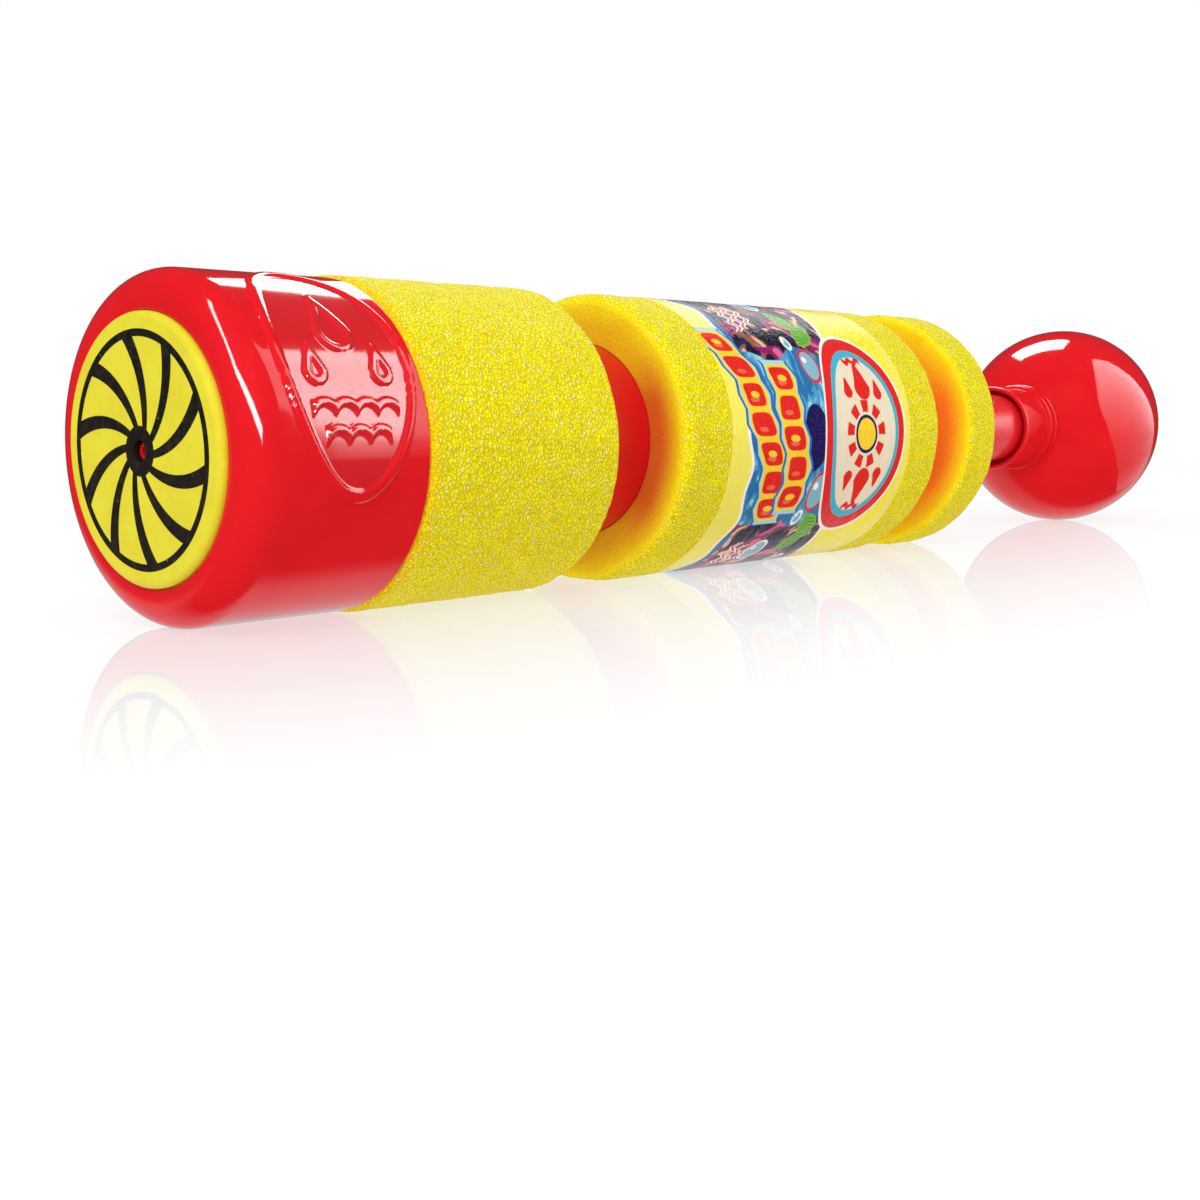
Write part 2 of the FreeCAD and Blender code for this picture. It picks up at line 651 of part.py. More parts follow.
def make_rear_bush():
    """Closes the barrel's rear end, guides the rod and lets air past it."""
    bore = cell("rod_radius") + SLIP
    bush = turned(
        "rear_bush",
        [
            (BUSH_FRONT, bore),
            (BUSH_FRONT, SPIGOT_RADIUS),
            (BARREL_REAR, SPIGOT_RADIUS),
            (BARREL_REAR, cell("bush_flange_radius")),
            (BUSH_REAR, cell("bush_flange_radius")),
            (BUSH_REAR, bore),
        ],
    )
    edge = (BUSH_REAR, cell("bush_flange_radius"))
    ease_edges(bush, "bush_edge", "Chamfer", cell("bush_edge_bevel"), edge)
    slot_sketch = new_sketch(bush, "vent_outline", "XZ_Plane")
    slot_top = bore + cell("vent_depth")
    draw_outline(
        slot_sketch,
        [
            (BUSH_FRONT - SLIP, bore - SLIP),
            (BUSH_REAR + SLIP, bore - SLIP),
            (BUSH_REAR + SLIP, slot_top),
            (BUSH_FRONT - SLIP, slot_top),
        ],
    )
    doc.recompute()
    slot = bush.newObject("PartDesign::Pocket", "vent_slot")
    slot.Profile = (slot_sketch, [""])
    slot.Midplane = True
    slot.setExpression("Length", cell("vent_width").text)
    slot_sketch.Visibility = False
    doc.recompute()
    repeat_round_axis(bush, "vent_slots", slot, cell("vent_count"))


def make_rod_and_stop_ring():
    tube("rod", ROD_FRONT, ROD_REAR, ROD_BORE, cell("rod_radius"))
    inside = cell("rod_radius") + SNUG
    ring = tube("stop_ring", ROD_FRONT, STOP_RING_REAR, inside, cell("stop_ring_radius"))
    edge = (STOP_RING_REAR, cell("stop_ring_radius"))
    ease_edges(ring, "stop_ring_edge", "Chamfer", cell("stop_ring_bevel"), edge)


def make_piston():
    """A clamp disc and a piston body hold the seal between them, and a screw draws them together."""
    hub = cell("piston_hub_radius")
    pilot = cell("screw_radius") + SNUG
    head_radius = cell("screw_head_radius") + SNUG
    head_seat = PISTON_FRONT + cell("screw_head_height")
    pilot_rear = head_seat + cell("screw_length") + SNUG
    stem_rear = ROD_FRONT + cell("piston_stem_length")
    turned(
        "piston_clamp",
        [
            (PISTON_FRONT, head_radius),
            (PISTON_FRONT, PISTON_RADIUS),
            (SEAL_FRONT, PISTON_RADIUS),
            (SEAL_FRONT, pilot),
            (head_seat, pilot),
            (head_seat, head_radius),
        ],
    )
    turned(
        "piston_body",
        [
            (SEAL_FRONT, pilot),
            (SEAL_FRONT, hub),
            (SEAL_REAR, hub),
            (SEAL_REAR, PISTON_RADIUS),
            (ROD_FRONT, PISTON_RADIUS),
            (ROD_FRONT, ROD_BORE - SNUG),
            (stem_rear, ROD_BORE - SNUG),
            (stem_rear, ZERO),
            (pilot_rear, ZERO),
            (pilot_rear, pilot),
        ],
    )
    screw = turned(
        "piston_screw",
        [
            (PISTON_FRONT, ZERO),
            (PISTON_FRONT, cell("screw_head_radius")),
            (head_seat, cell("screw_head_radius")),
            (head_seat, cell("screw_radius")),
            (pilot_rear - SNUG, cell("screw_radius")),
            (pilot_rear - SNUG, ZERO),
        ],
    )
    edge = (PISTON_FRONT, cell("screw_head_radius"))
    ease_edges(screw, "screw_head_edge", "Chamfer", cell("screw_head_bevel"), edge)
    make_piston_seal(hub)


def make_piston_seal(hub):
    """A rubber ring with two lips that wipe the barrel. It slides with the plunger, which can turn inside it."""
    lip = BARREL_BORE - cell("seal_gap")
    waist = lip - cell("seal_waist_depth")
    slope = cell("seal_lip_slope")
    width = cell("seal_lip_width")
    front = SEAL_FRONT + SLIP
    rear = SEAL_REAR - SLIP
    turned(
        "piston_seal",
        [
            (front, hub + SLIP),
            (front, waist),
            (front + slope, lip),
            (front + slope + width, lip),
            (front + slope + width + slope, waist),
            (rear - slope - width - slope, waist),
            (rear - slope - width, lip),
            (rear - slope, lip),
            (rear, waist),
            (rear, hub + SLIP),
        ],
    )


def hollow_belts(centre, radius):
    """Corners of the ball's hollow, from its far pole towards the neck, as straight belts of equal angle."""
    step = int(float(cell("knob_hollow_step")))
    corners = []
    for angle in range(0, 180 - step, step):
        turn = math.radians(angle)
        corners.append((centre + radius * math.cos(turn), radius * math.sin(turn)))
    return corners


def make_knob():
    """A hollow ball with a short neck that the rod is pushed into."""
    tip = cell("neck_tip_radius")
    waist = cell("neck_waist_radius")
    ring = cell("neck_ring_radius")
    throat = cell("knob_throat_radius")
    socket = cell("rod_radius") + SNUG
    hollow = KNOB_RADIUS - cell("knob_wall")
    ring_front = NECK_REAR - cell("neck_ring_width")
    knob = turned(
        "knob",
        [
            (NECK_TIP, socket),
            (NECK_TIP, tip),
            (ring_front, waist),
            (ring_front, ring),
            (NECK_REAR, ring),
            (KNOB_CENTRE + KNOB_RADIUS, ZERO),
            *hollow_belts(KNOB_CENTRE, hollow),
            (KNOB_CENTRE - on_sphere(hollow, throat), throat),
            (ROD_REAR, throat),
            (ROD_REAR, socket),
        ],
        arc_centres={4: KNOB_CENTRE},
    )
    ease_edges(knob, "neck_edge", "Fillet", cell("neck_edge_round"), (NECK_TIP, tip))


NODES = [
    "nozzle_cap",
    "front_disc",
    "disc_print",
    "nozzle_plug",
    "plug_seal",
    "barrel",
    "front_foam",
    "middle_foam",
    "label_film",
    "rear_foam",
    "rear_bush",
    "rod",
    "stop_ring",
    "piston_body",
    "piston_clamp",
    "piston_screw",
    "piston_seal",
    "knob",
]


def check_document():
    """Stops with a message if an object failed or a piece isn't a sound solid."""
    failed = [item.Name for item in doc.Objects if {"Invalid", "Error"} & set(item.State)]
    if failed:
        raise RuntimeError(f"these objects failed: {failed}")
    for name in NODES:
        shape = doc.getObject(name).Shape
        if shape.isNull() or not shape.isValid() or len(shape.Solids) != 1:
            raise RuntimeError(f"{name} isn't one sound solid")


def write_parts():
    os.makedirs("parts", exist_ok=True)
    for name in NODES:
        shape = doc.getObject(name).Shape
        shape.exportStep(f"parts/{name}.step")
        box = shape.BoundBox
        print(f"{name:14s} {shape.Volume:10.1f} mm3  x {box.XMin:8.2f} to {box.XMax:8.2f}")


make_end_sleeves()
make_middle_sleeve_and_label()
make_barrel()
make_nozzle_cap()
make_face_disc()
make_nozzle_plug_and_seal()
make_rear_bush()
make_rod_and_stop_ring()
make_piston()
make_knob()
doc.recompute()
check_document()
write_parts()
print(f"length {float(SQUIRTER_LENGTH):.2f}, push {float(PUSH_TRAVEL):.2f}, draw {float(DRAW_TRAVEL):.2f}")
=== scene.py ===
"""The water squirter's looks: glossy red mouldings, yellow foam sleeves and a printed clear wrap.

Stations are millimetres behind the face disc, radii are millimetres from the barrel's axis,
and angles are degrees round it, with 0 facing -Y, 90 on top and 180 facing +Y.
"""

import math

import bmesh
import bpy
import numpy as np
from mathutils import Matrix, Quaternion, Vector, noise


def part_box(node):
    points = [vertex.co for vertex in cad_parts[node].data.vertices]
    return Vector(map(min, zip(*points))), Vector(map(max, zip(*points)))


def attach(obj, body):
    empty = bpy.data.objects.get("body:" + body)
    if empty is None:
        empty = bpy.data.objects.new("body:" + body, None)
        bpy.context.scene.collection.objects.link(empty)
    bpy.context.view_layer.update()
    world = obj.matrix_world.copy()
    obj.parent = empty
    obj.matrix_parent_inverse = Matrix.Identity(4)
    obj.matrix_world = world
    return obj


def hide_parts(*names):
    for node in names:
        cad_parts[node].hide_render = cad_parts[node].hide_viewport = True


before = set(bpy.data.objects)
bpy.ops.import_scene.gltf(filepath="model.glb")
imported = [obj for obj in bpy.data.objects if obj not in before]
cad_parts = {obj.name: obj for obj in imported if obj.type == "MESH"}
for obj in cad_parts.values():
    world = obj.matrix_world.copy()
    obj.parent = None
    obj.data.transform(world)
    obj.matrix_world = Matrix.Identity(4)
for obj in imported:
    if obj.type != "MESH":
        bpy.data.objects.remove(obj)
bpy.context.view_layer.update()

MM = 0.001
FACE_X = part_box("front_disc")[0].x
AXIS_Z = (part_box("knob")[0].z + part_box("knob")[1].z) / 2


def ends(node):
    """The stations of a node's front and rear."""
    low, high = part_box(node)
    return (low.x - FACE_X) / MM, (high.x - FACE_X) / MM


CAP_FRONT, CAP_REAR = ends("nozzle_cap")
LABEL_FRONT, LABEL_REAR = ends("label_film")

# ---------------------------------------------------------------- meshes

# the support point beside a rounding lies this far along the flat, or this share of a short flat
SUPPORT_REACH = 0.25
SUPPORT_SHARE = 0.2


def rounded(corners, steps=6):
    """A closed outline of (station, radius) points from (station, radius, rounding) corners.

    Each rounding becomes an arc, and a support point beside it keeps the shading of the flats flat.
    """
    outline = []
    count = len(corners)
    for number, (station, radius, rounding) in enumerate(corners):
        here = Vector((station, radius))
        back = Vector(corners[number - 1][:2]) - here
        on = Vector(corners[(number + 1) % count][:2]) - here
        if rounding <= 0:
            outline.append((here.x, here.y))
            continue
        half_turn = back.angle(on) / 2
        reach = rounding / math.tan(half_turn)
        support = min(SUPPORT_REACH, SUPPORT_SHARE * back.length, SUPPORT_SHARE * on.length)
        back.normalize()
        on.normalize()
        centre = here + (back + on).normalized() * (rounding / math.sin(half_turn))
        first = here + back * reach - centre
        last = here + on * reach - centre
        outline.append(tuple(centre + first + back * support))
        for step in range(steps + 1):
            share = step / steps
            outline.append(tuple(centre + first.slerp(last, share) * rounding))
        outline.append(tuple(centre + last + on * support))
    return outline


def tube_outline(front, rear, bore, radius, edge=0.2, bore_edge=0, steps=6):
    """The outline of a plain tube with softened edges."""
    corners = [(front, bore, bore_edge), (front, radius, edge), (rear, radius, edge), (rear, bore, bore_edge)]
    return rounded(corners, steps)


def split_rows(outline, start, finish, pitch):
    """Adds points every pitch millimetres on the outline's runs whose stations lie from start to finish."""
    rows = []
    for number, point in enumerate(outline):
        rows.append(point)
        after = outline[(number + 1) % len(outline)]
        run = math.dist(point, after)
        inside = all(start - 1e-6 <= place[0] <= finish + 1e-6 for place in (point, after))
        pieces = math.ceil(run / pitch) if inside else 1
        for piece in range(1, pieces):
            share = piece / pieces
            rows.append(tuple(a + (b - a) * share for a, b in zip(point, after)))
    return rows


ROUND_COLUMNS = 192


def even_angles(count=ROUND_COLUMNS):
    return [360 * number / count for number in range(count)]


def revolve(name, outline, angles, push=None, crease=35):
    """A closed mesh turned about the barrel's axis. push gives what a point stands proud of its radius."""
    turns = np.radians(angles)
    places = []
    rings = []
    for station, radius in outline:
        if radius < 1e-6:
            rings.append([len(places)])
            places.append((FACE_X + station * MM, 0, AXIS_Z))
            continue
        rings.append(list(range(len(places), len(places) + len(angles))))
        for angle, turn in zip(angles, turns):
            reach = radius + (push(station, radius, angle) if push else 0)
            y = -reach * MM * math.cos(turn)
            z = AXIS_Z + reach * MM * math.sin(turn)
            places.append((FACE_X + station * MM, y, z))
    faces = []
    count = len(angles)
    for number, ring in enumerate(rings):
        following = rings[(number + 1) % len(rings)]
        if len(ring) == 1 and len(following) == 1:
            continue
        for column in range(count):
            beside = (column + 1) % count
            if len(ring) == 1:
                faces.append((ring[0], following[beside], following[column]))
            elif len(following) == 1:
                faces.append((ring[column], ring[beside], following[0]))
            else:
                faces.append((ring[column], ring[beside], following[beside], following[column]))
    return mesh_piece(name, places, faces, crease)


def mesh_piece(name, places, faces, crease=35):
    mesh = bpy.data.meshes.new(name)
    mesh.from_pydata([tuple(place) for place in places], [], faces)
    mesh.validate()
    mesh.shade_smooth()
    mesh.set_sharp_from_angle(angle=math.radians(crease))
    piece = bpy.data.objects.new(name, mesh)
    bpy.context.scene.collection.objects.link(piece)
    return piece


def mark_points(mesh, name, values):
    """Stores a number at each point, for the material to read by that name."""
    mesh.attributes.new(name, "FLOAT", "POINT").data.foreach_set("value", values)


def outward(piece):
    """Turns every face of a closed piece to look outward."""
    shell = bmesh.new()
    shell.from_mesh(piece.data)
    bmesh.ops.recalc_face_normals(shell, faces=shell.faces)
    if shell.calc_volume(signed=True) < 0:
        bmesh.ops.reverse_faces(shell, faces=shell.faces)
    shell.to_mesh(piece.data)
    shell.free()


def finish_piece(piece, material, body, slot, *nodes):
    outward(piece)
    piece.data.materials.append(material)
    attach(piece, body)
    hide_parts(*nodes)
    return piece


# ---------------------------------------------------------------- shader graphs


class Field:
    """A number that varies over a surface."""

    def __init__(self, graph, socket):
        self.graph = graph
        self.socket = socket

    def math(self, operation, *others):
        node = self.graph.nodes.new("ShaderNodeMath")
        node.operation = operation
        for place, value in enumerate((self, *others)):
            self.graph.feed(node.inputs[place], value)
        return Field(self.graph, node.outputs[0])

    def __add__(self, other):
        return self.math("ADD", other)

    def __sub__(self, other):
        return self.math("SUBTRACT", other)

    def __mul__(self, other):
        return self.math("MULTIPLY", other)

    def __truediv__(self, other):
        return self.math("DIVIDE", other)

    def sine(self, period, shift=0.0):
        return ((self + shift) * (2 * math.pi / period)).math("SINE")

    def size(self):
        return self.math("ABSOLUTE")

    def most(self, other):
        return self.math("MAXIMUM", other)

    def wrapped(self, period):
        """The same place in the nearest of a row of equal periods, from minus to plus half a period."""
        return self.math("WRAP", period / 2, -period / 2)

    def ramp(self, low, high, start=0.0, finish=1.0):
        node = self.graph.nodes.new("ShaderNodeMapRange")
        node.interpolation_type = "SMOOTHSTEP"
        self.graph.feed(node.inputs["Value"], self)
        for name, value in (("From Min", low), ("From Max", high), ("To Min", start), ("To Max", finish)):
            node.inputs[name].default_value = value
        return Field(self.graph, node.outputs["Result"])

    def inside(self, edge, soft=0.15):
        """1 where the number is below the edge and 0 above it."""
        return self.ramp(edge - soft, edge + soft, 1.0, 0.0)


class Graph:
    """The node tree of a material or world, with short names for what is needed here."""

    def __init__(self, owner):
        owner.use_nodes = True
        self.owner = owner
        self.nodes = owner.node_tree.nodes
        self.links = owner.node_tree.links
        self.surface = self.nodes.get("Principled BSDF")

    def feed(self, socket, value):
        if isinstance(value, Field):
            self.links.new(value.socket, socket)
        elif isinstance(value, bpy.types.NodeSocket):
            self.links.new(value, socket)
        else:
            socket.default_value = value

    def place(self):
        """The point on the piece, in millimetres."""
        where = self.nodes.new("ShaderNodeTexCoord")
        return self.scaled(where.outputs["Object"], 1 / MM)

    def scaled(self, vector, factor):
        node = self.nodes.new("ShaderNodeVectorMath")
        node.operation = "SCALE"
        node.inputs["Scale"].default_value = factor
        self.links.new(vector, node.inputs[0])
        return node.outputs[0]

    def parts(self, vector):
        split = self.nodes.new("ShaderNodeSeparateXYZ")
        self.links.new(vector, split.inputs[0])
        return [Field(self, socket) for socket in split.outputs]

    def from_axis(self, y, z):
        """Distance from the barrel's axis, in millimetres."""
        above = z - AXIS_Z / MM
        return (y * y + above * above).math("SQRT")

    def stretched(self, vector, x, y, z):
        node = self.nodes.new("ShaderNodeMapping")
        self.links.new(vector, node.inputs["Vector"])
        node.inputs["Scale"].default_value = (x, y, z)
        return node.outputs[0]

    def noise(self, vector, wavelength, detail=2.0, roughness=0.5, twist=0.0):
        node = self.nodes.new("ShaderNodeTexNoise")
        self.links.new(vector, node.inputs["Vector"])
        node.inputs["Scale"].default_value = 1 / wavelength
        node.inputs["Detail"].default_value = detail
        node.inputs["Roughness"].default_value = roughness
        node.inputs["Distortion"].default_value = twist
        return Field(self, node.outputs["Fac"])

    def warped(self, vector, wavelength, reach):
        """The place pushed about by up to half of reach, in millimetres."""
        colour = self.noise(vector, wavelength).socket.node.outputs["Color"]
        push = self.nodes.new("ShaderNodeVectorMath")
        push.operation = "MULTIPLY_ADD"
        for place, value in enumerate((colour, (reach, reach, reach), vector)):
            self.feed(push.inputs[place], value)
        return push.outputs[0]

    def cells(self, vector, pitch, feature="F1"):
        node = self.nodes.new("ShaderNodeTexVoronoi")
        node.feature = feature
        self.links.new(vector, node.inputs["Vector"])
        node.inputs["Scale"].default_value = 1 / pitch
        return Field(self, node.outputs["Distance"])

    def attribute(self, name):
        node = self.nodes.new("ShaderNodeAttribute")
        node.attribute_name = name
        return Field(self, node.outputs["Fac"])

    def rays(self, kind):
        """1 where a ray of that kind arrives, and 0 for other rays."""
        node = self.nodes.new("ShaderNodeLightPath")
        return Field(self, node.outputs[f"Is {kind} Ray"])

    def mix(self, share, first, second):
        node = self.nodes.new("ShaderNodeMix")
        node.data_type = "RGBA"
        self.feed(node.inputs[0], share)
        for place, colour in ((6, first), (7, second)):
            if isinstance(colour, tuple):
                node.inputs[place].default_value = (*colour, 1)
            else:
                self.links.new(colour, node.inputs[place])
        return node.outputs[2]

    def blend(self, share, first, second):
        """A number between two others."""
        node = self.nodes.new("ShaderNodeMix")
        for place, value in ((0, share), (2, first), (3, second)):
            self.feed(node.inputs[place], value)
        return Field(self, node.outputs[0])

    def bump(self, height, depth, under=None):
        node = self.nodes.new("ShaderNodeBump")
        node.inputs["Strength"].default_value = 1.0
        node.inputs["Distance"].default_value = depth * MM
        self.feed(node.inputs["Height"], height)
        if under is not None:
            self.links.new(under, node.inputs["Normal"])
        return node.outputs[0]

    def shader(self, kind, **settings):
        node = self.nodes.new(f"ShaderNode{kind}")
        for name, value in settings.items():
            self.feed(node.inputs[name], value)
        return node.outputs[0]

    def mix_shaders(self, share, first, second):
        node = self.nodes.new("ShaderNodeMixShader")
        for place, value in enumerate((share, first, second)):
            self.feed(node.inputs[place], value)
        return node.outputs[0]

    def show(self, shader):
        self.links.new(shader, self.nodes["Material Output"].inputs["Surface"])
        return self.owner

    def finish(self, colour, roughness, normal, shine=0.5, metal=0.0):
        self.feed(self.surface.inputs["Base Color"], colour)
        self.feed(self.surface.inputs["Roughness"], roughness)
        self.feed(self.surface.inputs["Normal"], normal)
        self.surface.inputs["Specular IOR Level"].default_value = shine
        self.surface.inputs["Metallic"].default_value = metal
        return self.owner


def new_graph(name):
    return Graph(bpy.data.materials.new(name))


# what share plastic reflects (Specular IOR Level), and the depth of its orange peel in millimetres
SHINE = 0.3
PEEL = 0.006
BADGE_COAT_ROUGHNESS = 0.1
BADGE_COAT_IOR = 1.9


def moulded(name, colour, deeper, gloss, shine=SHINE, badge=False):
    """Moulded plastic: faint orange peel, cloudy colour, handling marks and, on the cap, a polished badge."""
    graph = new_graph(name)
    place = graph.place()
    cloud = graph.noise(place, 14.0, 3.0)
    marks = graph.noise(graph.stretched(place, 0.25, 1, 1), 1.1, 4.0, 0.7).ramp(0.56, 0.74)
    peeled = graph.noise(place, 1.8, 1.0)
    waves = graph.noise(place, 9.0, 1.0)
    if badge:
        graph.feed(graph.surface.inputs["Coat Weight"], graph.attribute("badge"))
        graph.surface.inputs["Coat Roughness"].default_value = BADGE_COAT_ROUGHNESS
        graph.surface.inputs["Coat IOR"].default_value = BADGE_COAT_IOR
    return graph.finish(
        graph.mix(cloud.ramp(0.35, 0.75), colour, deeper),
        marks * 0.12 + gloss,
        graph.bump(peeled, PEEL, graph.bump(waves, PEEL * 6)),
        shine,
    )


FOAM_GRAIN = 0.88
FOAM_YELLOW = (1.0, 0.945, 0.006)
FOAM_DEEP = (0.98, 0.87, 0.004)
# painted shade in the creases between the grains
FOAM_CREASE_SHADE = (0.65, 0.49, 0.001)
# painted highlights on the grain tops, and painted glints on the brightest of them
FOAM_GRAIN_HIGHLIGHT = (1.0, 0.99, 0.17)
FOAM_GRAIN_GLINT = (1.0, 1.0, 0.42)
CAP_SIDE_RED = (0.86, 0.26, 0.01)
RED_BOUNCE_PAINT = (0.67, 0.095, 0.018)
ORANGE_BOUNCE_PAINT = (0.97, 0.20, 0.022)


def foam_material():
    """Extruded foam: a yellow skin with painted highlights on its grains and painted shade between them, and
    smoother cut ends with painted red bounce light from the barrel.
    """
    graph = new_graph("yellow_foam")
    place = graph.place()
    x, y, z = graph.parts(place)
    cut = graph.attribute("cut_face")
    from_axis = graph.from_axis(y, z)
    skin = cut * -1.0 + 1.0
    warped = graph.warped(graph.stretched(place, 1.15, 1, 1), 1.0, 0.45)
    grains = graph.cells(warped, FOAM_GRAIN)
    veins = graph.cells(warped, FOAM_GRAIN, "DISTANCE_TO_EDGE")
    clumps = graph.noise(place, 1.5, 3.0, 0.6)
    speckle = graph.noise(place, 0.45, 1.0)
    patches = graph.noise(place, 6.0, 2.0)
    # painted highlights on the grain tops, fewer on the cut ends, and painted glints where the clumps peak;
    # these tops are also less rough
    lit_grains = grains.ramp(0.50, 0.24) * clumps.ramp(0.34, 0.56) * (skin * 0.85 + 0.15)
    bright = lit_grains * clumps.ramp(0.50, 0.62)
    colour = graph.mix(patches.ramp(0.35, 0.65), FOAM_YELLOW, FOAM_DEEP)
    # painted shade: the grains' edges darkened as creases between them, less on the cut ends
    colour = graph.mix(veins.ramp(0.18, 0.03) * (skin * 0.75 + 0.1), colour, FOAM_CREASE_SHADE)
    colour = graph.mix(lit_grains * 0.7, colour, FOAM_GRAIN_HIGHLIGHT)
    colour = graph.mix(bright * 0.5, colour, FOAM_GRAIN_GLINT)
    # reddish specks on the foam within 3 mm of the cap
    beside_cap = (x - (FACE_X / MM + CAP_REAR)).ramp(3.0, 0.0)
    colour = graph.mix(beside_cap * speckle.ramp(0.35, 0.65) * 0.45, colour, CAP_SIDE_RED)
    # painted bounce light from the red barrel on the cut ends: deepest near the bore, weaker at the top and
    # the very bottom, red on the front ends and orange from 150 mm back
    up = (z - AXIS_Z / MM) / from_axis
    shaded = up.ramp(0.30, 0.85, 1.0, 0.45) * up.ramp(-0.95, -0.5, 0.55, 1.0)
    glow = from_axis.ramp(30.9, 22.6) * cut * shaded
    tint = graph.mix((x - FACE_X / MM).ramp(100.0, 150.0), RED_BOUNCE_PAINT, ORANGE_BOUNCE_PAINT)
    colour = graph.mix(glow * 0.95, colour, tint)
    height = (grains.ramp(0.6, 0.1) * 0.6 + speckle * 0.2 + clumps * 0.3) * (skin * 0.8 + 0.2)
    return graph.finish(colour, lit_grains * -0.2 + 0.7, graph.bump(height, 0.45), 0.1)


# ---------------------------------------------------------------- the print on the clear wrap

PRINT_PERIOD = 94.25
CHART_SCALE = 100.0
LABEL_LENGTH = (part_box("label_film")[1].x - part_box("label_film")[0].x) / MM
DEEP_SKY = (0.025, 0.17, 0.42)
SKY = (0.07, 0.36, 0.60)
PALE_SKY = (0.34, 0.68, 0.80)
HALO = (0.40, 0.70, 0.80)
BUBBLE = (0.22, 0.50, 0.62)
NAVY = (0.018, 0.010, 0.11)
BLACK = (0.012, 0.009, 0.012)
BROWN = (0.30, 0.11, 0.03)
SHELL = (0.80, 0.50, 0.34)
INK_RED = (0.80, 0.020, 0.016)
SUN = (0.98, 0.66, 0.03)
CREAM = (0.86, 0.76, 0.56)
CYAN = (0.05, 0.48, 0.66)
LIME = (0.20, 0.52, 0.04)
LEAF = (0.04, 0.26, 0.02)
MAGENTA = (0.30, 0.012, 0.13)
PINK = (0.72, 0.14, 0.30)
FILM_OVER_FOAM = (0.96, 0.86, 0.020)
FILM_GRAIN_HIGHLIGHT = (1.0, 0.96, 0.36)
FILM_CLOUD = (0.93, 0.84, 0.18)
WHITE = (0.95, 0.95, 0.90)
GLINT = (0.93, 0.24, 0.10)

# u, v and radius of each bubble, and the ink of its rim
BUBBLES = (
    (16.5, 33.0, 4.0, INK_RED),
    (-12.5, 34.0, 4.4, INK_RED),
    (-30.0, 25.5, 4.0, WHITE),
    (40.5, 33.0, 4.2, WHITE),
    (22.5, 29.0, 1.9, WHITE),
    (-19.0, 31.0, 2.0, WHITE),
    (-37.0, 42.0, 2.6, WHITE),
)
# u, v and lean of each leaf, in radians
LEAVES = ((25.5, 37.5, 0.8), (30.5, 35.5, -0.4), (-22.0, 37.5, -0.7), (-27.5, 36.5, 0.5))
# v at the middle, slope, both ends in u, and pitch of each chain of beads
CHAINS = ((12.5, -0.36, -18.9, 25.2, 6.3), (22.2, -0.17, -16.5, 16.5, 6.6))
OVAL_U, OVAL_V = 0.5, 49.8
OVAL_RINGS = ((16.5, WHITE), (15.9, INK_RED), (13.5, CYAN), (12.2, CREAM))
# u, v and radius of each drop in the oval
DROPS = (
    (11.4, 50.4, 3.1),
    (-10.4, 50.4, 3.1),
    (10.0, 56.2, 1.7),
    (-9.0, 56.2, 1.7),
    (10.4, 44.4, 1.7),
    (-9.4, 44.4, 1.7),
)


class Chart:
    """The wrap's own map: u millimetres round the sleeve from its -Y side, v behind the wrap's front edge."""

    def __init__(self, graph):
        self.graph = graph
        chart = graph.nodes.new("ShaderNodeUVMap")
        chart.uv_map = "wrap"
        self.flat = graph.scaled(chart.outputs[0], CHART_SCALE)
        round_sleeve, self.v = graph.parts(self.flat)[:2]
        self.u = round_sleeve.wrapped(PRINT_PERIOD)

    def disc(self, at_u, at_v, wide=1.0, tall=1.0):
        """Distance from a point of the print, squeezed by wide along v and by tall along u."""
        a = (self.u - at_u) / tall
        b = (self.v - at_v) / wide
        return (a * a + b * b).math("SQRT")


def sea_print(chart):
    """Water that pales in swirls, a navy patch, and dark reefs with stripes and ripples towards the ends."""
    graph, flat, u, v = chart.graph, chart.flat, chart.u, chart.v
    swirl = graph.noise(graph.stretched(flat, 0.5, 1.0, 1.0), 5.0, 3.0, 0.6, 1.6)
    water = graph.mix(swirl.ramp(0.44, 0.56), DEEP_SKY, SKY)
    water = graph.mix(swirl.ramp(0.56, 0.66), water, PALE_SKY)
    water = graph.mix(chart.disc(0.0, 30.0, 0.62).inside(7.4), water, NAVY)
    reef_edge = u.size() + v.sine(19.0, 3.0) * 1.6 + v * -0.10
    mottle = graph.noise(flat, 7.5, 2.0, 0.45, 1.2)
    reef = graph.mix(mottle.ramp(0.44, 0.48), BLACK, NAVY)
    reef = graph.mix(mottle.ramp(0.52, 0.54), reef, BROWN)
    reef = graph.mix(mottle.ramp(0.58, 0.60), reef, SHELL)
    weed = graph.noise(graph.stretched(flat, 1.0, 0.5, 1.0), 8.0, 1.5, 0.4, 0.8)
    reef = graph.mix(weed.ramp(0.56, 0.58), reef, MAGENTA)
    reef = graph.mix(weed.ramp(0.63, 0.65), reef, PINK)
    water = graph.mix(reef_edge.ramp(16.6, 17.2), water, reef)
    stripe = (v - 11.0 + u.size() * 0.1).size()
    striped = u.size().ramp(24.0, 24.6)
    water = graph.mix(stripe.inside(0.9) * striped, water, WHITE)
    water = graph.mix(stripe.inside(0.45) * striped, water, INK_RED)
    water = graph.mix(v.inside(10.4) * u.size().ramp(22.0, 22.6), water, DEEP_SKY)
    for row in (0, 1, 2):
        ripple = (v - 16.0 - row * 3.0 + u.sine(3.1, row * 1.3) * 0.75).size()
        reach = (u.size() - 31.0).size().inside(5.4 - row * 1.2)
        water = graph.mix(ripple.inside(1.05) * reach, water, WHITE)
        water = graph.mix(ripple.inside(0.5) * reach, water, INK_RED)
    return water


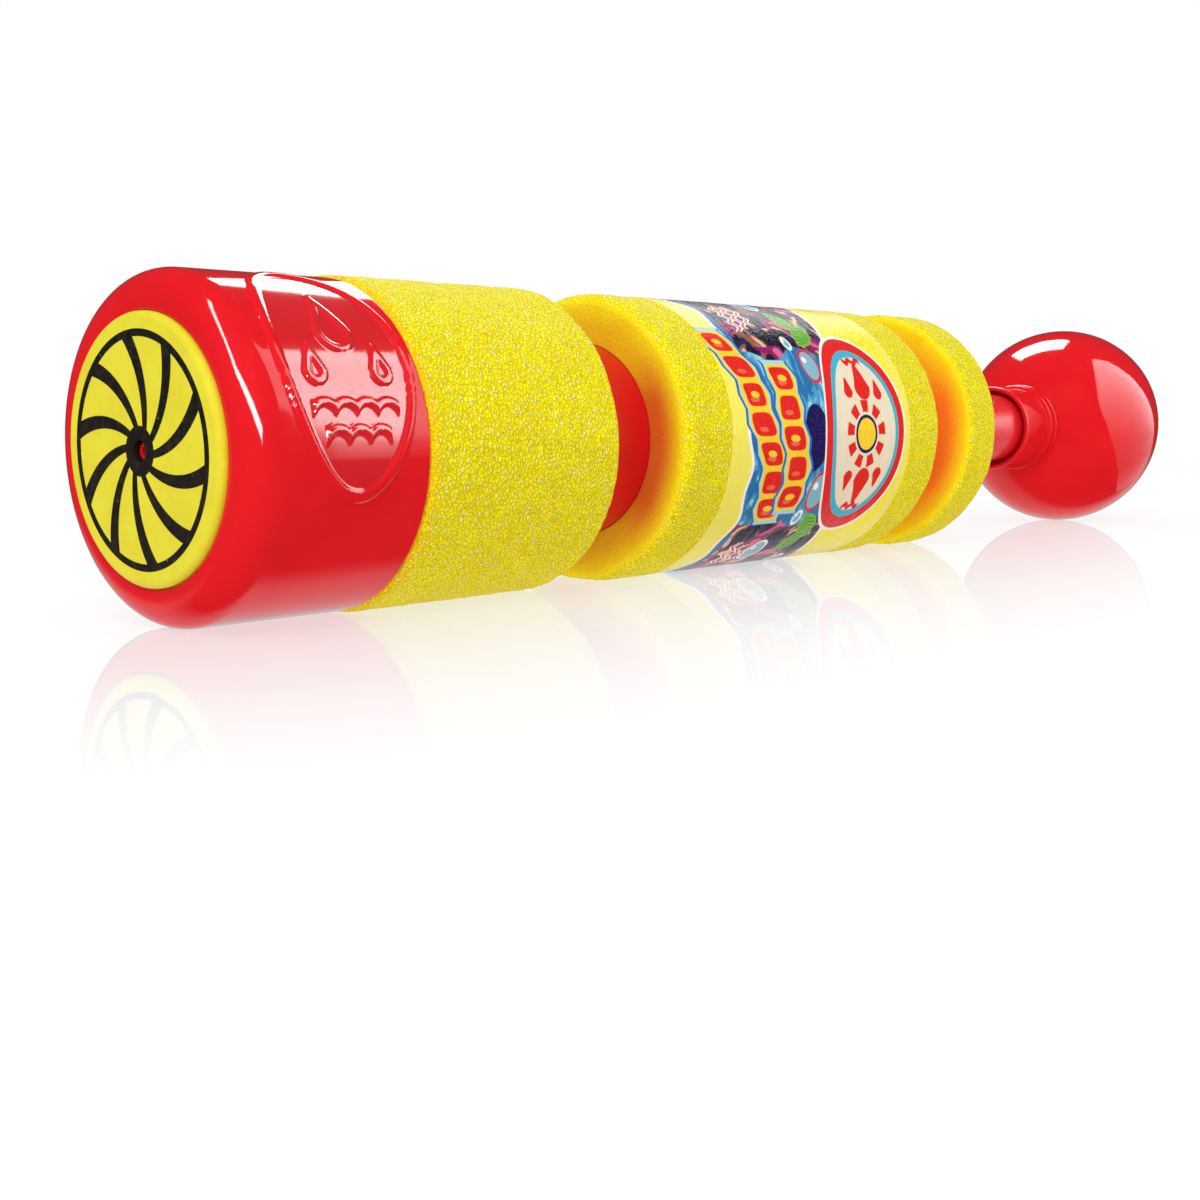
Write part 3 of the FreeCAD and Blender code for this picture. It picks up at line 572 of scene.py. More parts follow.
def add_bubble(chart, colour, at_u, at_v, radius, rim):
    graph = chart.graph
    distance = chart.disc(at_u, at_v, 0.8, 1.1)
    colour = graph.mix(distance.inside(radius), colour, rim)
    colour = graph.mix(distance.inside(radius - 0.7), colour, BUBBLE)
    glint = chart.disc(at_u + radius * 0.35, at_v - radius * 0.3).inside(radius * 0.2)
    return graph.mix(glint, colour, WHITE)


def add_leaf(chart, colour, at_u, at_v, lean):
    """A pointed leaf with slanting veins."""
    graph = chart.graph
    a = chart.u - at_u
    b = chart.v - at_v
    along = a * math.cos(lean) + b * math.sin(lean)
    across = b * math.cos(lean) - a * math.sin(lean)
    blade = across.size() + along * along * 0.10
    colour = graph.mix(blade.inside(2.9), colour, LIME)
    veins = (along + across.size()).sine(1.5).ramp(0.2, 0.7) * blade.inside(2.3)
    return graph.mix(veins, colour, LEAF)


def add_chain(chart, colour, middle, slope, low, high, pitch):
    """A ribbon of plump beads on yellow with a blue edge. Every other bead is a ring."""
    graph, u, v = chart.graph, chart.u, chart.v
    along = (u - low - pitch / 2).wrapped(pitch)
    across = v - middle - u * slope + u.sine(pitch * 3.0, 1.0) * 0.6
    beads = u.ramp(low - 0.1, low + 0.1) * u.ramp(high + 0.1, high - 0.1)
    wobble = u.sine(pitch * 2.3, 2.0) * 0.3
    a = along / (pitch * 0.40)
    b = across / (wobble + 3.5)
    shape = (a * a * a * a + b * b * b * b).math("SQRT").math("SQRT")
    off, apart = across.size(), along.size()
    halo = (off + apart * 0.35).inside(6.0) * u.ramp(low - 1.2, low - 0.9) * u.ramp(high + 1.2, high + 0.9)
    colour = graph.mix((off - 0.5 + apart * 0.3).inside(6.0) * halo, colour, DEEP_SKY)
    colour = graph.mix((off + apart * 0.35).inside(5.2) * halo, colour, HALO)
    colour = graph.mix((off + apart * 0.25).inside(4.5) * beads, colour, SUN)
    colour = graph.mix(shape.inside(1.0, 0.05) * beads, colour, INK_RED)
    odd = (u - low).sine(pitch * 2).ramp(-0.02, 0.02)
    ring = (a * a * 2.2 + b * b).math("SQRT")
    colour = graph.mix(ring.inside(0.44, 0.05) * beads * odd, colour, SUN)
    lit = ((along + 1.1) * (along + 1.1) * 3.0 + (across + 0.5) * (across + 0.5) * 0.4).inside(0.9, 0.3)
    return graph.mix(lit * beads * 0.6, colour, GLINT)


def add_drop(chart, colour, at_u, at_v, radius):
    """A drop whose tip points away from the sun."""
    side = 1 if at_u > 0 else -1
    b = (chart.u - at_u) * side
    a = (chart.v - at_v) * (b.most(0.0) * (0.62 / radius) + 1.0)
    drop = a * a + b * b * (b.ramp(-0.1, 0.1) * -0.72 + 1.0)
    return chart.graph.mix(drop.math("SQRT").inside(radius), colour, INK_RED)


def add_oval(chart, colour):
    """A sun with rays, drops and two ripples in an oval frame."""
    graph, u, v = chart.graph, chart.u, chart.v
    oval = chart.disc(OVAL_U, OVAL_V, 1.0, 1.52)
    for edge, tint in OVAL_RINGS:
        colour = graph.mix(oval.inside(edge, 0.08), colour, tint)
    bearing = (u - OVAL_U).math("ARCTAN2", v - OVAL_V)
    distance = chart.disc(OVAL_U, OVAL_V)
    rays = (bearing * 9.0).math("SINE").ramp(-0.45, -0.05) * distance.inside(7.8) * distance.ramp(4.9, 5.1)
    colour = graph.mix(rays, colour, INK_RED)
    colour = graph.mix(distance.inside(4.4), colour, NAVY)
    colour = graph.mix(distance.inside(3.6), colour, SUN)
    for drop in DROPS:
        colour = add_drop(chart, colour, *drop)
    for side in (-1, 1):
        ripple = (u - OVAL_U - side * 17.3 + v.sine(3.0, side * 0.8) * 0.5).size()
        colour = graph.mix(ripple.inside(0.75) * (v - 50.0).size().inside(3.4), colour, INK_RED)
    return colour


def label_material():
    """Clear glossy film over the foam, printed with a sea, bubbles, leaves, two chains of beads and an oval.

    The print repeats twice round the sleeve.
    """
    graph = new_graph("label_print")
    chart = Chart(graph)
    u, v = chart.u, chart.v
    place = graph.place()
    grains = graph.cells(graph.warped(place, 1.0, 0.45), FOAM_GRAIN)
    clumps = graph.noise(place, 1.5, 3.0, 0.6)
    # painted highlights on the foam's grain tops, seen through the film
    lit_grains = grains.ramp(0.50, 0.24) * clumps.ramp(0.38, 0.56)
    colour = graph.mix(lit_grains * 0.7, FILM_OVER_FOAM, FILM_GRAIN_HIGHLIGHT)
    cloudy = v.ramp(8.5, 6.0).most(v.ramp(LABEL_LENGTH - 4.5, LABEL_LENGTH - 2.5))
    colour = graph.mix(cloudy * (lit_grains * 0.3 + 0.6), colour, FILM_CLOUD)
    front_edge = v + u.sine(13.0, 2.0) * 0.7 + u.sine(47.1, 9.0)
    rear_edge = v - u.size() * 0.36 + u.sine(17.0, 2.0) * 0.4
    colour = graph.mix(front_edge.ramp(6.7, 7.0) * rear_edge.inside(36.6), colour, WHITE)
    colour = graph.mix(front_edge.ramp(7.6, 7.9) * rear_edge.inside(35.4), colour, sea_print(chart))
    for bubble in BUBBLES:
        colour = add_bubble(chart, colour, *bubble)
    for leaf in LEAVES:
        colour = add_leaf(chart, colour, *leaf)
    for chain in CHAINS:
        colour = add_chain(chart, colour, *chain)
    colour = add_oval(chart, colour)
    grain = graph.noise(chart.flat, 0.5, 2.0)
    creases = graph.noise(graph.stretched(chart.flat, 0.16, 1.0, 1.0), 2.4, 2.0)
    return graph.finish(
        graph.mix(grain.ramp(0.56, 0.8) * 0.10, colour, WHITE),
        creases.ramp(0.4, 0.8) * 0.12 + 0.2,
        graph.bump(grains, 0.08, graph.bump(creases, 0.2)),
        0.12,
    )


# ---------------------------------------------------------------- materials

GLOSS_RED = (0.76, 0.0115, 0.0185)
DEEP_GLOSS_RED = (0.71, 0.0095, 0.0160)
RED = moulded("red_gloss", GLOSS_RED, DEEP_GLOSS_RED, 0.07)
CAP_RED = moulded("red_cap", GLOSS_RED, DEEP_GLOSS_RED, 0.07, badge=True)
ROD_RED = moulded("red_rod", GLOSS_RED, DEEP_GLOSS_RED, 0.26)
# the barrel's red is darker than the other mouldings: painted shade for the gaps between the foam sleeves,
# where it shows
BARREL_RED = moulded("red_barrel", (0.66, 0.008, 0.012), (0.58, 0.006, 0.010), 0.12, 0.25)
HOLE_RADIUS = 3.0
DARK_HOLE = (0.012, 0.010, 0.010)


def lemon():
    """The face disc: satin lemon plastic with a fine stippled grain and a dark edge round the centre hole."""
    graph = new_graph("yellow_disc")
    place = graph.place()
    stipple = graph.noise(place, 0.28, 2.0, 0.7)
    cloud = graph.noise(place, 6.0, 3.0)
    colour = graph.mix(cloud.ramp(0.35, 0.7), (0.80, 0.74, 0.030), (0.76, 0.67, 0.022))
    colour = graph.mix(stipple.ramp(0.6, 0.78) * 0.5, colour, (0.86, 0.84, 0.16))
    from_axis = graph.from_axis(*graph.parts(place)[1:])
    colour = graph.mix(from_axis.inside(HOLE_RADIUS), colour, DARK_HOLE)
    return graph.finish(colour, stipple * 0.15 + 0.30, graph.bump(stipple, 0.012), 0.3)


def ink():
    """Black screen print, thin in places, with small chips where the disc shows through."""
    graph = new_graph("black_print")
    place = graph.place()
    worn = graph.noise(place, 5.0, 1.0).ramp(0.5, 0.62)
    chips = graph.noise(place, 0.55, 3.0, 0.65).ramp(0.685, 0.71) * worn
    thin = graph.noise(place, 1.3, 3.0, 0.6)
    colour = graph.mix(thin.ramp(0.4, 0.75), (0.011, 0.009, 0.008), (0.035, 0.022, 0.012))
    colour = graph.mix(chips, colour, (0.62, 0.52, 0.06))
    return graph.finish(colour, thin * 0.2 + 0.38, graph.bump(thin, 0.01), 0.2)


def plain(name, colour, second, wavelength, roughness, metal=0.0):
    """A hidden piece: two close tones in fine blotches with a slightly uneven finish."""
    graph = new_graph(name)
    blotch = graph.noise(graph.place(), wavelength, 3.0)
    return graph.finish(
        graph.mix(blotch.ramp(0.3, 0.7), colour, second),
        blotch * 0.2 + roughness,
        graph.bump(blotch, 0.02),
        metal=metal,
    )


FOAM = foam_material()
LABEL = label_material()
LEMON = lemon()
INK = ink()
RUBBER = plain("seal_rubber", (0.018, 0.018, 0.019), (0.034, 0.033, 0.033), 1.5, 0.5)
WHITE_PLASTIC = plain("inner_white", (0.80, 0.80, 0.77), (0.74, 0.74, 0.72), 4.0, 0.3)
STEEL = plain("screw_steel", (0.62, 0.62, 0.60), (0.50, 0.50, 0.49), 0.5, 0.22, 1.0)

CAD_FINISHES = {
    "disc_print": INK,
    "nozzle_plug": RED,
    "plug_seal": RUBBER,
    "rear_bush": RED,
    "stop_ring": RUBBER,
    "piston_body": WHITE_PLASTIC,
    "piston_clamp": WHITE_PLASTIC,
    "piston_screw": STEEL,
    "piston_seal": RUBBER,
}
for node_name, finish in CAD_FINISHES.items():
    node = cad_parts[node_name]
    node.data.materials.clear()
    node.data.materials.append(finish)

# ---------------------------------------------------------------- the nozzle cap

CAP_RADIUS = 29.5
CAP_BORE = 27.3
CAP_INSIDE = 5.3
CAP_ROUND = 5.0
HUB_HOLE = 1.8
BADGE_STATION = CAP_FRONT + 20.2
BADGE_TILT = 31.0
BADGE_HALF_TURN = 75
# half of the badge's oval along and across the barrel, the width of its rim, and its height over the skirt
BADGE_WIDTH = 13.2
BADGE_HEIGHT = 21.5
BADGE_RIM = 1.4
RELIEF = 0.5
# place and radius of each drop, the width of its rim, and how much lower it is inside
BADGE_DROPS = (
    (0, 0.2 * BADGE_HEIGHT, 3.6),
    (-0.5 * BADGE_WIDTH, -0.14 * BADGE_HEIGHT, 2.16),
    (0.5 * BADGE_WIDTH, -0.14 * BADGE_HEIGHT, 2.16),
)
DROP_RIM = 1.3
DROP_SINK = 0.7
# height and number of waves of each line, and their pitch and width
BADGE_WAVES = ((-0.44 * BADGE_HEIGHT, 4), (-0.63 * BADGE_HEIGHT, 3))
WAVE_PITCH = 4.2
WAVE_WIDTH = 1.2


def soft_step(distance, soft=0.32):
    """1 well inside an outline and 0 well outside it, from the distance to it."""
    share = min(max(0.5 - distance / (2 * soft), 0), 1)
    return share * share * (3 - 2 * share)


def oval_distance(p, q, width, height):
    """Roughly how far a point lies outside an oval, and less than 0 inside it."""
    reach = math.hypot(p / width, q / height)
    slope = math.hypot(p / width**2, q / height**2)
    return (reach - 1) * reach / slope if slope > 1e-9 else -min(width, height)


def drop_distance(p, q, radius):
    """Distance to a water drop whose tip stands two and a half radii above its middle."""
    tip = 2.5 * radius
    lean = radius / tip
    side = math.sqrt(1 - lean * lean)
    p = abs(p)
    along = -lean * p + side * q
    if along < 0:
        return math.hypot(p, q) - radius
    if along > side * tip:
        return math.hypot(p, q - tip)
    return p * side + q * lean - radius


def wave_distance(p, q, pitch, count, width):
    """Distance to a band of round waves that starts at p = 0."""
    spot = min(max(p, 0), pitch * count - 1e-6) % pitch
    bend = (pitch**2 / 4 + (pitch / 4) ** 2) / (pitch / 2)
    crest = math.sqrt(bend**2 - (spot - pitch / 2) ** 2) - (bend - pitch / 4)
    off_end = max(-p, p - pitch * count, 0)
    steep = abs(spot - pitch / 2) / bend
    off_band = abs(q - crest - width / 2) * math.sqrt(1 - steep * steep) - width / 2
    return math.hypot(off_end, max(off_band, 0)) if off_end > 0 else off_band


def badge_relief(station, radius, angle):
    """Height of the moulded badge over the cap's skirt: an oval rim, three drops and two lines of waves."""
    if radius < CAP_RADIUS - 0.01 or abs(angle - BADGE_TILT) >= BADGE_HALF_TURN:
        return 0.0
    p = station - BADGE_STATION
    q = CAP_RADIUS * math.sin(math.radians(angle - BADGE_TILT))
    if abs(p) > BADGE_WIDTH + 1 or abs(q) > BADGE_HEIGHT + 1:
        return 0.0
    outside = oval_distance(p, q, BADGE_WIDTH, BADGE_HEIGHT)
    inside = oval_distance(p, q, BADGE_WIDTH - BADGE_RIM, BADGE_HEIGHT - BADGE_RIM)
    height = min(soft_step(outside), 1 - soft_step(inside))
    for at_p, at_q, size in BADGE_DROPS:
        distance = drop_distance(p - at_p, q - at_q, size)
        height = max(height, soft_step(distance) - DROP_SINK * soft_step(distance + DROP_RIM))
    for at_q, count in BADGE_WAVES:
        distance = wave_distance(p + count * WAVE_PITCH / 2, q - at_q, WAVE_PITCH, count, WAVE_WIDTH)
        height = max(height, soft_step(distance))
    return RELIEF * height


def badge_share(place):
    """1 on the polished field inside the badge's rim, and 0 elsewhere on the cap."""
    across, up = -place.y / MM, (place.z - AXIS_Z) / MM
    if across <= 0 or math.hypot(across, up) < CAP_RADIUS - 0.05:
        return 0.0
    p = (place.x - FACE_X) / MM - BADGE_STATION
    q = CAP_RADIUS * math.sin(math.atan2(up, across) - math.radians(BADGE_TILT))
    return soft_step(oval_distance(p, q, BADGE_WIDTH - BADGE_RIM, BADGE_HEIGHT - BADGE_RIM), 0.5)


SEAT = 22.5
SEAT_FLOOR = ends("front_disc")[1]
cap_outline = rounded(
    [
        (SEAT_FLOOR, HUB_HOLE, 0),
        (SEAT_FLOOR, SEAT, 0),
        (CAP_FRONT, SEAT, 0.35),
        (CAP_FRONT, CAP_RADIUS, CAP_ROUND),
        (CAP_REAR, CAP_RADIUS, 0.7),
        (CAP_REAR, CAP_BORE, 0.3),
        (CAP_INSIDE, CAP_BORE, 0),
        (CAP_INSIDE, HUB_HOLE, 0),
    ],
    12,
)
cap_outline = split_rows(cap_outline, CAP_FRONT + CAP_ROUND - 0.1, CAP_REAR, 0.28)
badge_angles = [-19 + 0.5 * number for number in range(200)]
other_angles = [81 + 1.5 * number for number in range(174)]
cap = revolve("nozzle_cap_shell", cap_outline, badge_angles + other_angles, badge_relief)
mark_points(cap.data, "badge", [badge_share(vertex.co) for vertex in cap.data.vertices])
finish_piece(cap, CAP_RED, "barrel_group", "red_gloss", "nozzle_cap")

# ---------------------------------------------------------------- the face disc

DISC_RADIUS = 22.4
DISC_ROUND = 1.1
PRINT_SINK = 0.05
disc_outline = rounded(
    [
        (PRINT_SINK, HUB_HOLE, 0.1),
        (PRINT_SINK, DISC_RADIUS, DISC_ROUND),
        (SEAT_FLOOR, DISC_RADIUS, 0),
        (SEAT_FLOOR, HUB_HOLE, 0),
    ]
)
disc = revolve("face_disc", disc_outline, even_angles())
finish_piece(disc, LEMON, "barrel_group", "yellow_disc", "front_disc")

# ---------------------------------------------------------------- barrel, rod and knob

BARREL_BORE, BARREL_RADIUS = 18.4, 20.0
barrel = revolve("barrel_tube", tube_outline(*ends("barrel"), BARREL_BORE, BARREL_RADIUS), even_angles())
finish_piece(barrel, BARREL_RED, "barrel_group", "red_barrel", "barrel")

ROD_BORE, ROD_RADIUS = 8.3, 9.6
rod = revolve("plunger_rod", tube_outline(*ends("rod"), ROD_BORE, ROD_RADIUS), even_angles(160))
finish_piece(rod, ROD_RED, "plunger_group", "red_gloss", "rod")

NECK_TIP, KNOB_END = ends("knob")
KNOB_RADIUS = 29.4
KNOB_CENTRE = KNOB_END - KNOB_RADIUS
NECK_SOCKET = 9.7
NECK_WAIST = 11.1
NECK_BEAD = 12.4
NECK_RING = 12.6
NECK_REAR = KNOB_CENTRE - math.sqrt(KNOB_RADIUS**2 - NECK_RING**2)
NECK_INSIDE = NECK_REAR - 0.8
BALL_STEPS = 96
neck = rounded(
    [
        (NECK_INSIDE, NECK_SOCKET, 0),
        (NECK_TIP + 3.4, NECK_SOCKET, 0),
        (NECK_TIP + 2.6, 10.7, 0.3),
        (NECK_TIP, 10.9, 0.25),
        (NECK_TIP, 12.0, 0.5),
        (NECK_REAR - 4.3, 11.3, 0.25),
        (NECK_REAR - 3.9, NECK_BEAD, 0.4),
        (NECK_REAR - 2.9, NECK_BEAD, 0.4),
        (NECK_REAR - 2.4, NECK_WAIST, 0.3),
        (NECK_REAR - 1.7, NECK_WAIST, 0.3),
        (NECK_REAR - 1.2, NECK_RING, 0.4),
        (NECK_REAR, NECK_RING, 0),
    ]
)
ball = []
for number in range(1, BALL_STEPS + 1):
    turn = math.acos((NECK_REAR - KNOB_CENTRE) / KNOB_RADIUS) * (1 - number / BALL_STEPS)
    ball.append((KNOB_CENTRE + KNOB_RADIUS * math.cos(turn), max(KNOB_RADIUS * math.sin(turn), 0)))
knob = revolve("ball_knob", neck + ball + [(NECK_INSIDE, 0)], even_angles())
finish_piece(knob, RED, "plunger_group", "red_gloss", "knob")

# ---------------------------------------------------------------- foam sleeves

FOAM_RADIUS = 30.0
FOAM_BORE = 20.03
FOAM_PITCH = 0.45
BORE_SKIN = 0.2
# the outer skin goes this deep, and the cut faces inside it have only this share of its lumps
SKIN_DEPTH = 2.5
CUT_LUMPS = 0.25
CUT_REACH = 0.9
LABEL_SEAT = 29.78
LABEL_SINK = 0.15


def lumps(station, radius, angle):
    """Uneven skin of the extruded foam, in millimetres."""
    turn = math.radians(angle)
    point = Vector((station, radius * math.cos(turn), radius * math.sin(turn)))
    pebble = noise.noise(point * 0.62)
    swell = noise.noise(point * 0.09 + Vector((7.0, 1.0, 3.0)))
    return pebble * 0.16 + swell * 0.22


def foam_push(station, radius, angle):
    """How far the foam's skin stands out, held below the wrap and above the floor."""
    if radius < FOAM_BORE + BORE_SKIN:
        return 0.0
    depth = FOAM_RADIUS - radius
    push = lumps(station, radius, angle) * (1.0 if depth < SKIN_DEPTH else CUT_LUMPS)
    if LABEL_FRONT < station < LABEL_REAR and depth < 1:
        push = min(push - LABEL_SINK, LABEL_SEAT - radius)
    rise = math.sin(math.radians(angle))
    ground = AXIS_Z / MM
    if radius * rise + push * rise < -ground:
        push = ground / -rise - radius
    return push


def foam_sleeve(node, edge):
    front, rear = ends(node)
    outline = tube_outline(front, rear, FOAM_BORE, FOAM_RADIUS, edge, 0.15, 7)
    # the bore between the ends needs no rows
    outline = [
        (station, radius)
        for station, radius in split_rows(outline, front, rear, FOAM_PITCH)
        if radius > FOAM_BORE + BORE_SKIN or min(abs(station - front), abs(station - rear)) < 1
    ]
    columns = round(2 * math.pi * FOAM_RADIUS / FOAM_PITCH)
    sleeve = revolve(f"{node}_sleeve", outline, even_angles(columns), foam_push, 60)
    values = []
    for vertex in sleeve.data.vertices:
        station = (vertex.co.x - FACE_X) / MM
        from_axis = math.hypot(vertex.co.y, vertex.co.z - AXIS_Z) / MM
        near = min(station - front, rear - station)
        share = min(max((CUT_REACH - near) / CUT_REACH, 0), 1)
        values.append(share if from_axis < FOAM_RADIUS - FOAM_PITCH else share * 0.6)
    mark_points(sleeve.data, "cut_face", values)
    finish_piece(sleeve, FOAM, "barrel_group", "yellow_foam", node)
    return sleeve


sleeves = [foam_sleeve("front_foam", 1.6), foam_sleeve("middle_foam", 2.4), foam_sleeve("rear_foam", 1.8)]

# ---------------------------------------------------------------- the clear wrap

WRAP_OUTSIDE = 30.02
WRAP_INSIDE = 29.84
WRAP_LOW, WRAP_HIGH = -79.4, 259.4
WRAP_COLUMNS, WRAP_ROWS = 480, 100
LEAST_HEIGHT = 0.00002


def make_wrap():
    """The film as a thin closed sheet with its print's chart, rippled a little as shrunk film is."""
    columns = np.linspace(WRAP_LOW, WRAP_HIGH, WRAP_COLUMNS)
    rows = np.linspace(LABEL_FRONT, LABEL_REAR, WRAP_ROWS)
    places = []
    chart = []
    for depth in (WRAP_OUTSIDE, WRAP_INSIDE):
        for station in rows:
            for angle in columns:
                turn = math.radians(angle)
                point = Vector((station * 0.10, math.cos(turn) * 1.6, math.sin(turn) * 1.6))
                ripple = 0.05 * noise.noise(point * 2.2) + 0.025 * noise.noise(point * 7.0)
                reach = depth + ripple
                z = max(AXIS_Z + reach * MM * math.sin(turn), LEAST_HEIGHT)
                places.append((FACE_X + station * MM, -reach * MM * math.cos(turn), z))
                chart.append((turn * FOAM_RADIUS / CHART_SCALE, (station - LABEL_FRONT) / CHART_SCALE))
    wide, tall = WRAP_COLUMNS, WRAP_ROWS
    size = wide * tall
    faces = []
    for row in range(tall - 1):
        for column in range(wide - 1):
            a = row * wide + column
            quad = (a, a + 1, a + 1 + wide, a + wide)
            faces.append(quad)
            faces.append(tuple(size + corner for corner in reversed(quad)))
    border = (
        [(0, column) for column in range(wide)]
        + [(row, wide - 1) for row in range(1, tall)]
        + [(tall - 1, column) for column in range(wide - 2, -1, -1)]
        + [(row, 0) for row in range(tall - 2, 0, -1)]
    )
    for number, (row, column) in enumerate(border):
        after_row, after_column = border[(number + 1) % len(border)]
        a, b = row * wide + column, after_row * wide + after_column
        faces.append((b, a, size + a, size + b))
    wrap = mesh_piece("label_wrap", places, faces, 40)
    layer = wrap.data.uv_layers.new(name="wrap")
    corners = np.zeros(len(wrap.data.loops), int)
    wrap.data.loops.foreach_get("vertex_index", corners)
    layer.data.foreach_set("uv", np.array(chart)[corners].ravel())
    return wrap


wrap = finish_piece(make_wrap(), LABEL, "barrel_group", "label_print", "label_film")

# ---------------------------------------------------------------- floor, world and lamps

# what glossy things see of the room and of the floor, and the room's light on everything else
DIM_ROOM = 0.05
BRIGHT_FLOOR = 0.8
WORLD_LEVEL = 0.79
# the way from the camera to the object, seen from above
AHEAD_X, AHEAD_Y = 0.53, 0.848
FLOOR_SIZE = 4.0
FLOOR_LIFT = 0.8
PAPER_WHITE = (1.0, 1.0, 1.0)
WARM_WHITE = (1.0, 0.92, 0.84)
# the mirror image is strongest under the object and ends beside it, and farther out the floor fades away
OBJECT_REACH = 0.17
MIRROR_SHARE = 0.28
MIRROR_END = 0.135
FADE_START, FADE_END = 0.25, 0.8


def floor_material():
    """White floor with a shadow and a faint mirror image under the object, which fades into the backdrop.

    It sends warm white light back to the object, and its glow for the camera softens the shadow.
    """
    graph = new_graph("studio_floor")
    where = graph.nodes.new("ShaderNodeNewGeometry")
    x, y = graph.parts(where.outputs["Position"])[:2]
    beyond = (x.size() - OBJECT_REACH).most(0.0)
    distance = (beyond * beyond + y * y).math("SQRT")
    graph.surface.inputs["Base Color"].default_value = (1, 1, 1, 1)
    graph.surface.inputs["Roughness"].default_value = 1.0
    graph.surface.inputs["Specular IOR Level"].default_value = 0.0
    bounced = graph.rays("Diffuse")
    white = graph.shader("Emission", Strength=1.0, Color=graph.mix(bounced, PAPER_WHITE, WARM_WHITE))
    lifted = graph.mix_shaders(graph.rays("Camera") * FLOOR_LIFT + bounced, graph.surface.outputs[0], white)
    mirror = graph.shader("BsdfGlossy", Roughness=0.0, Color=(1, 1, 1, 1))
    mirrored = distance.ramp(0.0, MIRROR_END, MIRROR_SHARE, 0.0) * (bounced * -1.0 + 1.0)
    polished = graph.mix_shaders(mirrored, lifted, mirror)
    clear = graph.shader("BsdfTransparent")
    return graph.show(graph.mix_shaders(distance.ramp(FADE_START, FADE_END), polished, clear))


def make_floor():
    half = FLOOR_SIZE / 2
    mesh = bpy.data.meshes.new("studio_floor")
    corners = [(-half, -half, 0), (half, -half, 0), (half, half, 0), (-half, half, 0)]
    mesh.from_pydata(corners, [], [(0, 1, 2, 3)])
    mesh.materials.append(floor_material())
    floor = bpy.data.objects.new("studio_floor", mesh)
    floor.visible_glossy = False
    bpy.context.scene.collection.objects.link(floor)


def make_world():
    """White to the camera and in mirrors. Glossy things see a bright floor behind the object in the dim."""
    world = bpy.data.worlds.new("studio")
    bpy.context.scene.world = world
    graph = Graph(world)
    where = graph.nodes.new("ShaderNodeTexCoord")
    x, y, z = graph.parts(where.outputs["Generated"])
    facing = x * AHEAD_X + y * AHEAD_Y
    behind = facing.ramp(0.2, 0.5, 0.0, BRIGHT_FLOOR) * z.ramp(-0.3, -0.06, 1.0, 0.0)
    backdrop = behind.most(DIM_ROOM)
    level = graph.blend(graph.rays("Glossy"), z.ramp(-0.08, 0.0, 1.0, WORLD_LEVEL), backdrop)
    for kind in ("Singular", "Transmission", "Camera"):
        level = graph.blend(graph.rays(kind), level, 1.0)
    background = graph.nodes["Background"]
    background.inputs["Color"].default_value = (1, 1, 1, 1)
    graph.feed(background.inputs["Strength"], level)


def lamp(name, place, target, width, height, power, diffuse=True, glossy=True, roll=0.0):
    """A rectangular softbox that faces its target, turned in its own plane by roll degrees."""
    light = bpy.data.lights.new(name, "AREA")
    light.shape = "RECTANGLE"
    light.size = width
    light.size_y = height
    light.energy = power
    softbox = bpy.data.objects.new(name, light)
    softbox.location = place
    facing = (Vector(target) - Vector(place)).to_track_quat("-Z", "Y")
    softbox.rotation_euler = (facing @ Quaternion((0, 0, 1), math.radians(roll))).to_euler()
    softbox.visible_camera = False
    softbox.visible_diffuse = diffuse
    softbox.visible_glossy = glossy
    bpy.context.scene.collection.objects.link(softbox)
    return softbox


def toward(azimuth, elevation, distance):
    """A place at that bearing from the origin: azimuth from +X towards +Y, in degrees."""
    a, e = math.radians(azimuth), math.radians(elevation)
    level_reach = distance * math.cos(e)
    return (level_reach * math.cos(a), level_reach * math.sin(a), distance * math.sin(e))


def shared_with(light, receivers):
    """Lets only the given pieces receive a light."""
    lit = bpy.data.collections.new(f"{light.name}_receivers")
    for piece in receivers:
        lit.objects.link(piece)
    light.light_linking.receiver_collection = lit


def glow_sheet(name, rows, receivers):
    """A glowing sheet through rows of (places, level). Only shiny receivers show it; the floor doesn't."""
    graph = new_graph(name)
    glow = graph.shader("Emission", Strength=graph.attribute("level"))
    graph.show(graph.mix_shaders(graph.rays("Singular"), glow, graph.shader("BsdfTransparent")))
    wide = len(rows[0][0])
    places = [place for row, level in rows for place in row]
    corners = [row * wide + column for row in range(len(rows) - 1) for column in range(wide - 1)]
    faces = [(corner, corner + 1, corner + 1 + wide, corner + wide) for corner in corners]
    mesh = bpy.data.meshes.new(name)
    mesh.from_pydata([tuple(place) for place in places], [], faces)
    mark_points(mesh, "level", [float(level) for row, level in rows for place in row])
    mesh.materials.append(graph.owner)
    sheet = bpy.data.objects.new(name, mesh)
    for kind in ("camera", "diffuse", "transmission", "volume_scatter", "shadow"):
        setattr(sheet, f"visible_{kind}", False)
    bpy.context.scene.collection.objects.link(sheet)
    shared_with(sheet, receivers)


RIBBON_STEPS = 12


def ribbon_rows(centre, distance, spine):
    """Rows of two places beside a line of (azimuth, elevation, width, level) seen from a centre."""
    stops = [(Vector(toward(*bearing, 1.0)), width, level) for *bearing, width, level in spine]
    line = []
    for first, last in zip(stops, stops[1:]):
        for step in range(RIBBON_STEPS):
            share = step / RIBBON_STEPS
            ray = first[0].lerp(last[0], share).normalized()
            width, level = (first[part] + (last[part] - first[part]) * share for part in (1, 2))
            line.append((ray, width, level))
    line.append(stops[-1])
    rows = []
    for number, (ray, width, level) in enumerate(line):
        along = line[min(number + 1, len(line) - 1)][0] - line[max(number - 1, 0)][0]
        across = along.cross(ray).normalized() * (width / 2)
        rows.append(([Vector(centre) + (ray + side) * distance for side in (-across, across)], level))
    return rows


